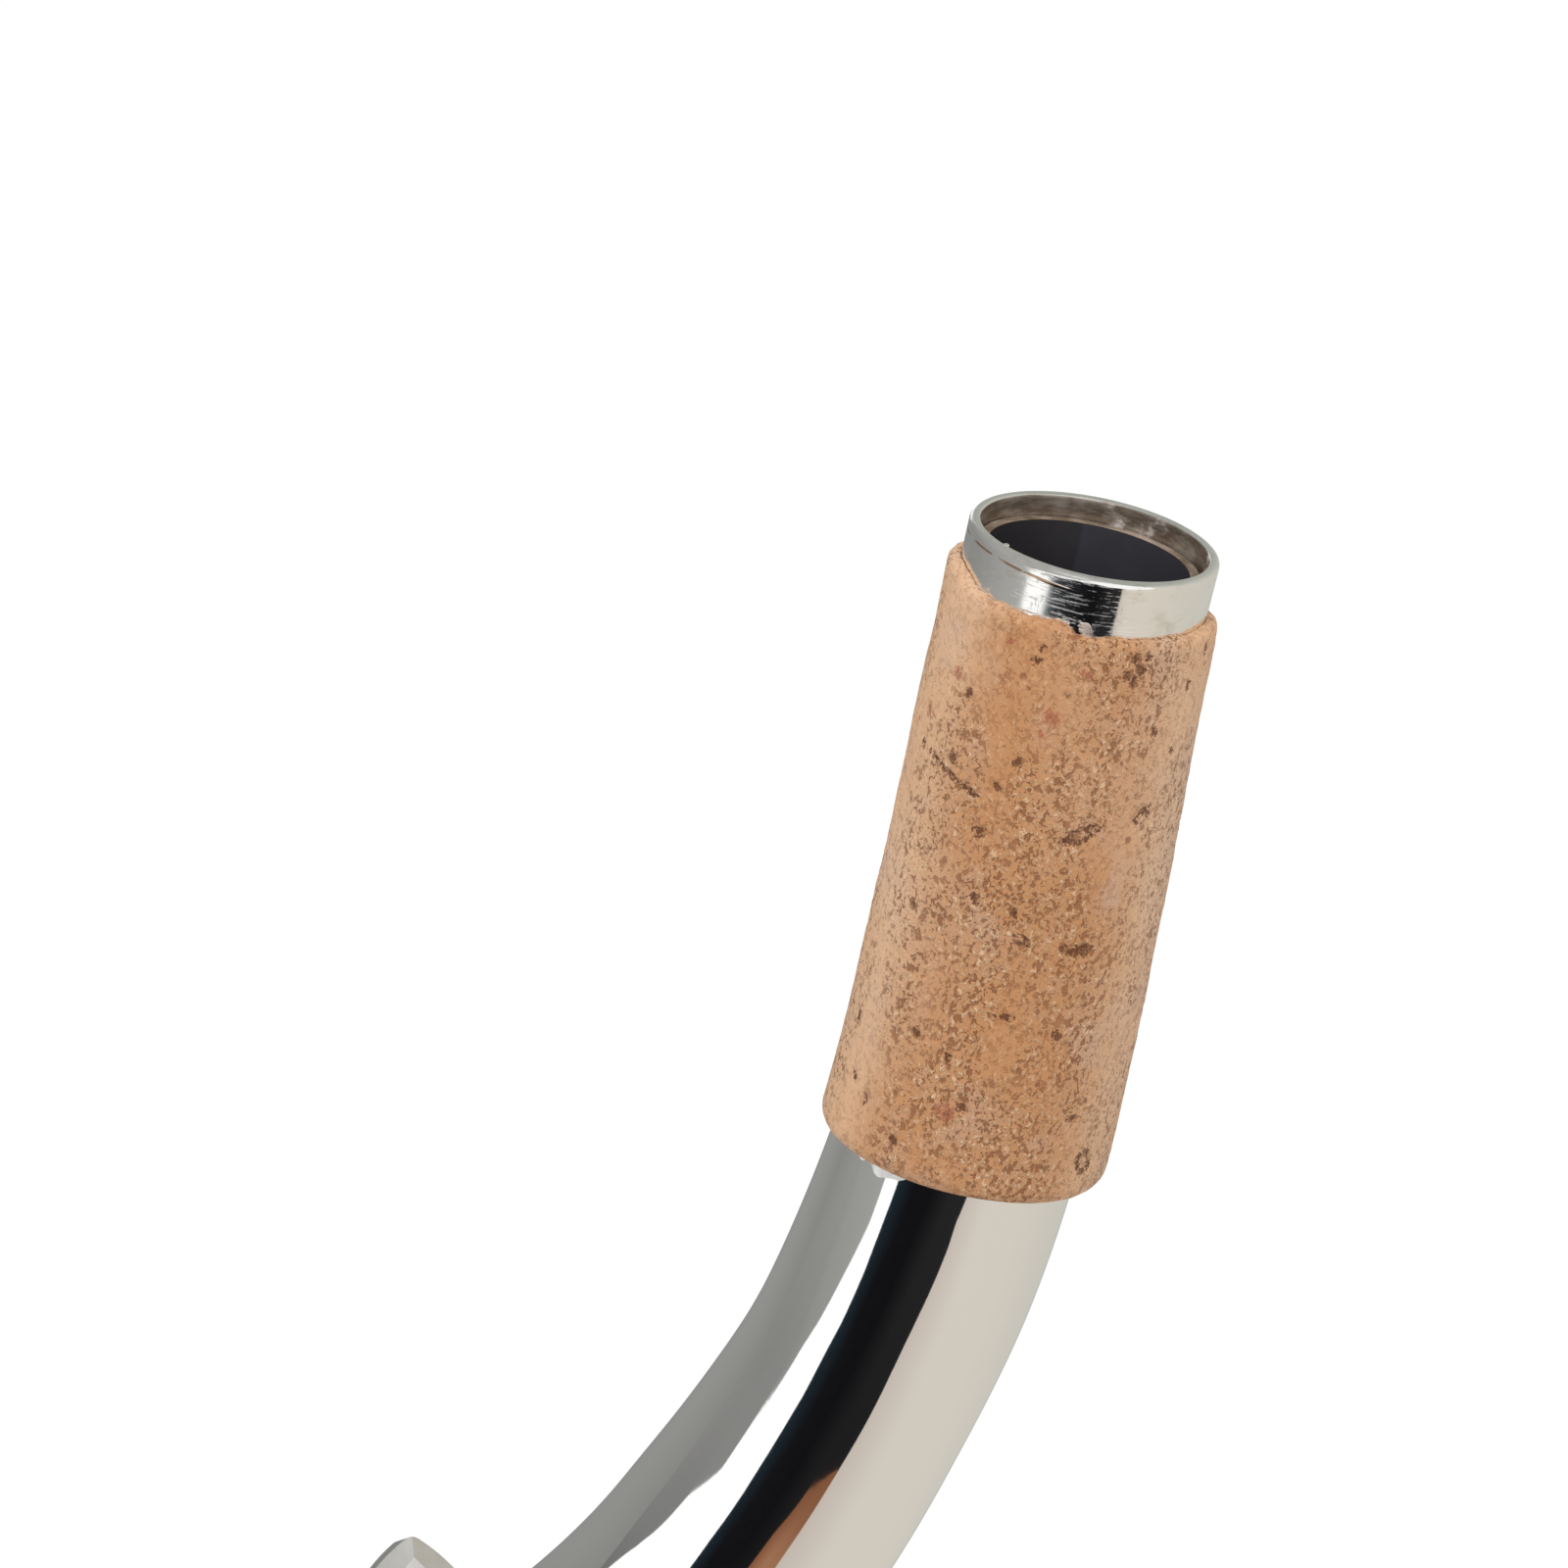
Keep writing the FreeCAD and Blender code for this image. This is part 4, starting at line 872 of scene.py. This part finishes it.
lamp = bpy.data.lights.new("softbox", "AREA")
lamp.shape = "RECTANGLE"
lamp.size = lamp.size_y = 0.6
lamp.energy = 8.0
softbox = bpy.data.objects.new("softbox", lamp)
aim = Vector((-0.85, -0.5, 1.0)).to_track_quat("Z", "Y").to_matrix().to_4x4()
softbox.matrix_world = Matrix.Translation((-0.9, -0.5, 1.1)) @ aim
bpy.context.scene.collection.objects.link(softbox)

card_middle = Vector((-60 * mm, 0, 95 * mm))
cuts_across = 32
cuts_between_rows = 8


def card(name, reach, lift, shades, rows):
    """A bent card: each row is a height angle with the azimuths of its two sides, all seen from the neck.
    Its shades run from its left side to its right, first those at its foot, then those at its head."""
    bm = bmesh.new()
    steps_up = (len(rows) - 1) * cuts_between_rows
    bmesh.ops.create_grid(bm, x_segments=cuts_across, y_segments=steps_up, size=1.0)
    shade = bm.verts.layers.float_color.new("shade")
    for vert in bm.verts:
        across = (vert.co.x + 1) / 2
        up = (vert.co.y + 1) / 2
        row = min(int(up * (len(rows) - 1) + 0.001), len(rows) - 2)
        share = up * (len(rows) - 1) - row
        sides = zip(rows[row], rows[row + 1])
        height, left, right = (low + (high - low) * share for low, high in sides)
        turn = math.radians(left + (right - left) * across)
        rise = math.radians(height)
        way = Vector((math.cos(turn) * math.cos(rise), math.sin(turn) * math.cos(rise), math.sin(rise)))
        far = reach / math.cos(rise)
        if rise < 0:
            far = min(far, (card_middle.z - table_height - lift) / -math.sin(rise))
        vert.co = card_middle + way * far
        both = []
        for line in shades:
            place = across * (len(line) - 1)
            first = min(int(place), len(line) - 2)
            both.append(Vector(line[first]).lerp(Vector(line[first + 1]), place - first))
        vert[shade] = (*both[0].lerp(both[1], up), 1)
    material, tree = bare_finish(name)
    glow = tree.nodes.new("ShaderNodeEmission")
    paint = tree.nodes.new("ShaderNodeAttribute")
    paint.attribute_name = "shade"
    tree.links.new(paint.outputs[0], glow.inputs["Color"])
    output = tree.nodes.new("ShaderNodeOutputMaterial")
    tree.links.new(glow.outputs[0], output.inputs[0])
    made = set_down(name, bm, material)
    made.visible_camera = False
    made.visible_diffuse = False
    made.visible_shadow = False
    made.visible_transmission = False


black = (0.006, 0.006, 0.007)
slate = (0.012, 0.022, 0.031)
dim = (0.020, 0.020, 0.021)
card("black_card", 0.55, 0.6 * mm, ((slate, black, black, black, black), (slate, black, black, dim, dim)), [
    (-30, -38, -11), (-25.5, -43, -11), (-24, -44, -11), (-22.5, -45.4, -11), (-21.5, -47, -11),
    (-20.7, -47.6, -11), (-19.5, -47.8, -11), (-18.2, -48.8, -11), (-16.1, -50, -11), (-13.1, -51, -11),
    (-10.8, -52.4, -11), (-8.6, -53.6, -11), (-7.1, -55.1, -11), (-5.5, -56.3, -11), (-0.5, -58.9, -11),
    (1.3, -59.5, -10.9), (3.5, -60.2, -11), (6.2, -61.4, -11.5), (9.3, -62.7, -12.3), (12.8, -64.2, -12.8),
    (16.2, -65.5, -12.7), (19.5, -65.6, -12.2), (22.6, -65.7, -11.8), (25.4, -65.8, -11.7),
    (27.9, -65.9, -12.8), (35, -64, -8), (45, -60, -2), (51, -55, 2), (60, -50, 8),
])
amber = (0.40, 0.20, 0.11)
rust = (0.22, 0.09, 0.045)
card("amber_card", 0.53, 0.8 * mm, ((rust, amber, amber), (rust, rust, rust)), [
    (-14, -22.5, -10.5), (-8.6, -22.5, -10.5), (-6.5, -21.3, -10.8), (-4.5, -20.3, -10.9), (-1, -12, -10.9),
])
# The grey cards are painted darkest where they meet, low down, and darker still at the edge next to the white
# card: painted shade in the reflections.
grey = (0.420, 0.420, 0.408)
pale_grey = (0.305, 0.305, 0.297)
shaded = (0.250, 0.250, 0.243)
card("grey_card", 0.57, 0.45 * mm, ((pale_grey, pale_grey), (shaded, shaded)), [
    (-89, -180, 180), (-70, -180, 180), (-57, -180, 180),
])
dark_grey = (0.165, 0.165, 0.161)
card("grey_side_card", 0.57, 0.5 * mm, ((shaded,) * 7 + (dark_grey,), (grey,) * 8), [
    (-60, -180, -45.5), (-57.5, -180, -48), (-54, -180, -51.5), (-50.3, -180, -54), (-46.5, -180, -55.6),
    (-44.6, -180, -56.7), (-37.2, -180, -56.2), (-36.4, -180, -58), (-34.4, -180, -57.3),
    (-32.8, -180, -57.3), (-30.5, -180, -57.9), (-26.6, -180, -58.4), (-23.3, -180, -59.4),
    (-20.3, -180, -60.3), (-17.2, -180, -60.9), (-14.4, -180, -61.4), (-10, -180, -66), (-5, -180, -72),
    (-1.5, -180, -74.5), (10, -180, -78), (30, -180, -80), (60, -180, -84),
])
cream_left = (0.567, 0.485, 0.432)
cream = (0.695, 0.640, 0.565)
cream_right = (0.640, 0.625, 0.570)
low_left = (0.500, 0.440, 0.390)
low_cream = (0.640, 0.600, 0.535)
low_right = (0.520, 0.525, 0.480)
far_right = (0.37, 0.39, 0.355)
low_creams = (low_left, low_cream, low_cream, low_right, low_right, far_right, far_right, far_right)
creams = (cream_left, cream, cream, cream, cream, cream_right, far_right, far_right)
card("cream_card", 0.60, 0.4 * mm, (low_creams, creams), [
    (-57, -16, 112), (-45, -16, 112), (-44, -16, 179), (-30, -16, 179), (-10, -16, 179), (10, -20, 179),
    (30, -20, 179), (45, -14, 179), (60, -8, 179),
])
bright_white = (1.12, 1.12, 1.12)
card("white_card", 0.64, 0.3 * mm, ((bright_white, bright_white), (bright_white, bright_white)), [
    (-57, -64, -30), (-40, -64, -30), (-20, -70, -30), (-6, -80, -40), (10, -84, -50), (30, -84, -50),
    (60, -88, -40),
])

# Camera
# Far above the mouthpiece end, looking down along the bow with a long lens,
# so that the neck runs out of the picture at the lower left.
picture_pixels = 1600.0
focal_pixels = 6500.0
eye = Vector((-92.6, -190.9, 445.0)) * mm
ahead = Vector((0.037, 0.463, -0.886)).normalized()
side = Vector((-0.005, 0.8865, 0.463))
side = (side - ahead * side.dot(ahead)).normalized()
upward = side.cross(ahead)
lens = bpy.data.cameras.new("camera")
lens.sensor_width = 36.0
lens.lens = focal_pixels / picture_pixels * lens.sensor_width
lens.clip_start = 0.01
lens.clip_end = 20.0
camera = bpy.data.objects.new("camera", lens)
axes = Matrix((side, upward, -ahead)).transposed()
camera.matrix_world = Matrix.Translation(eye) @ axes.to_4x4()
bpy.context.scene.collection.objects.link(camera)
bpy.context.scene.camera = camera
bpy.context.scene.view_settings.view_transform = "Standard"
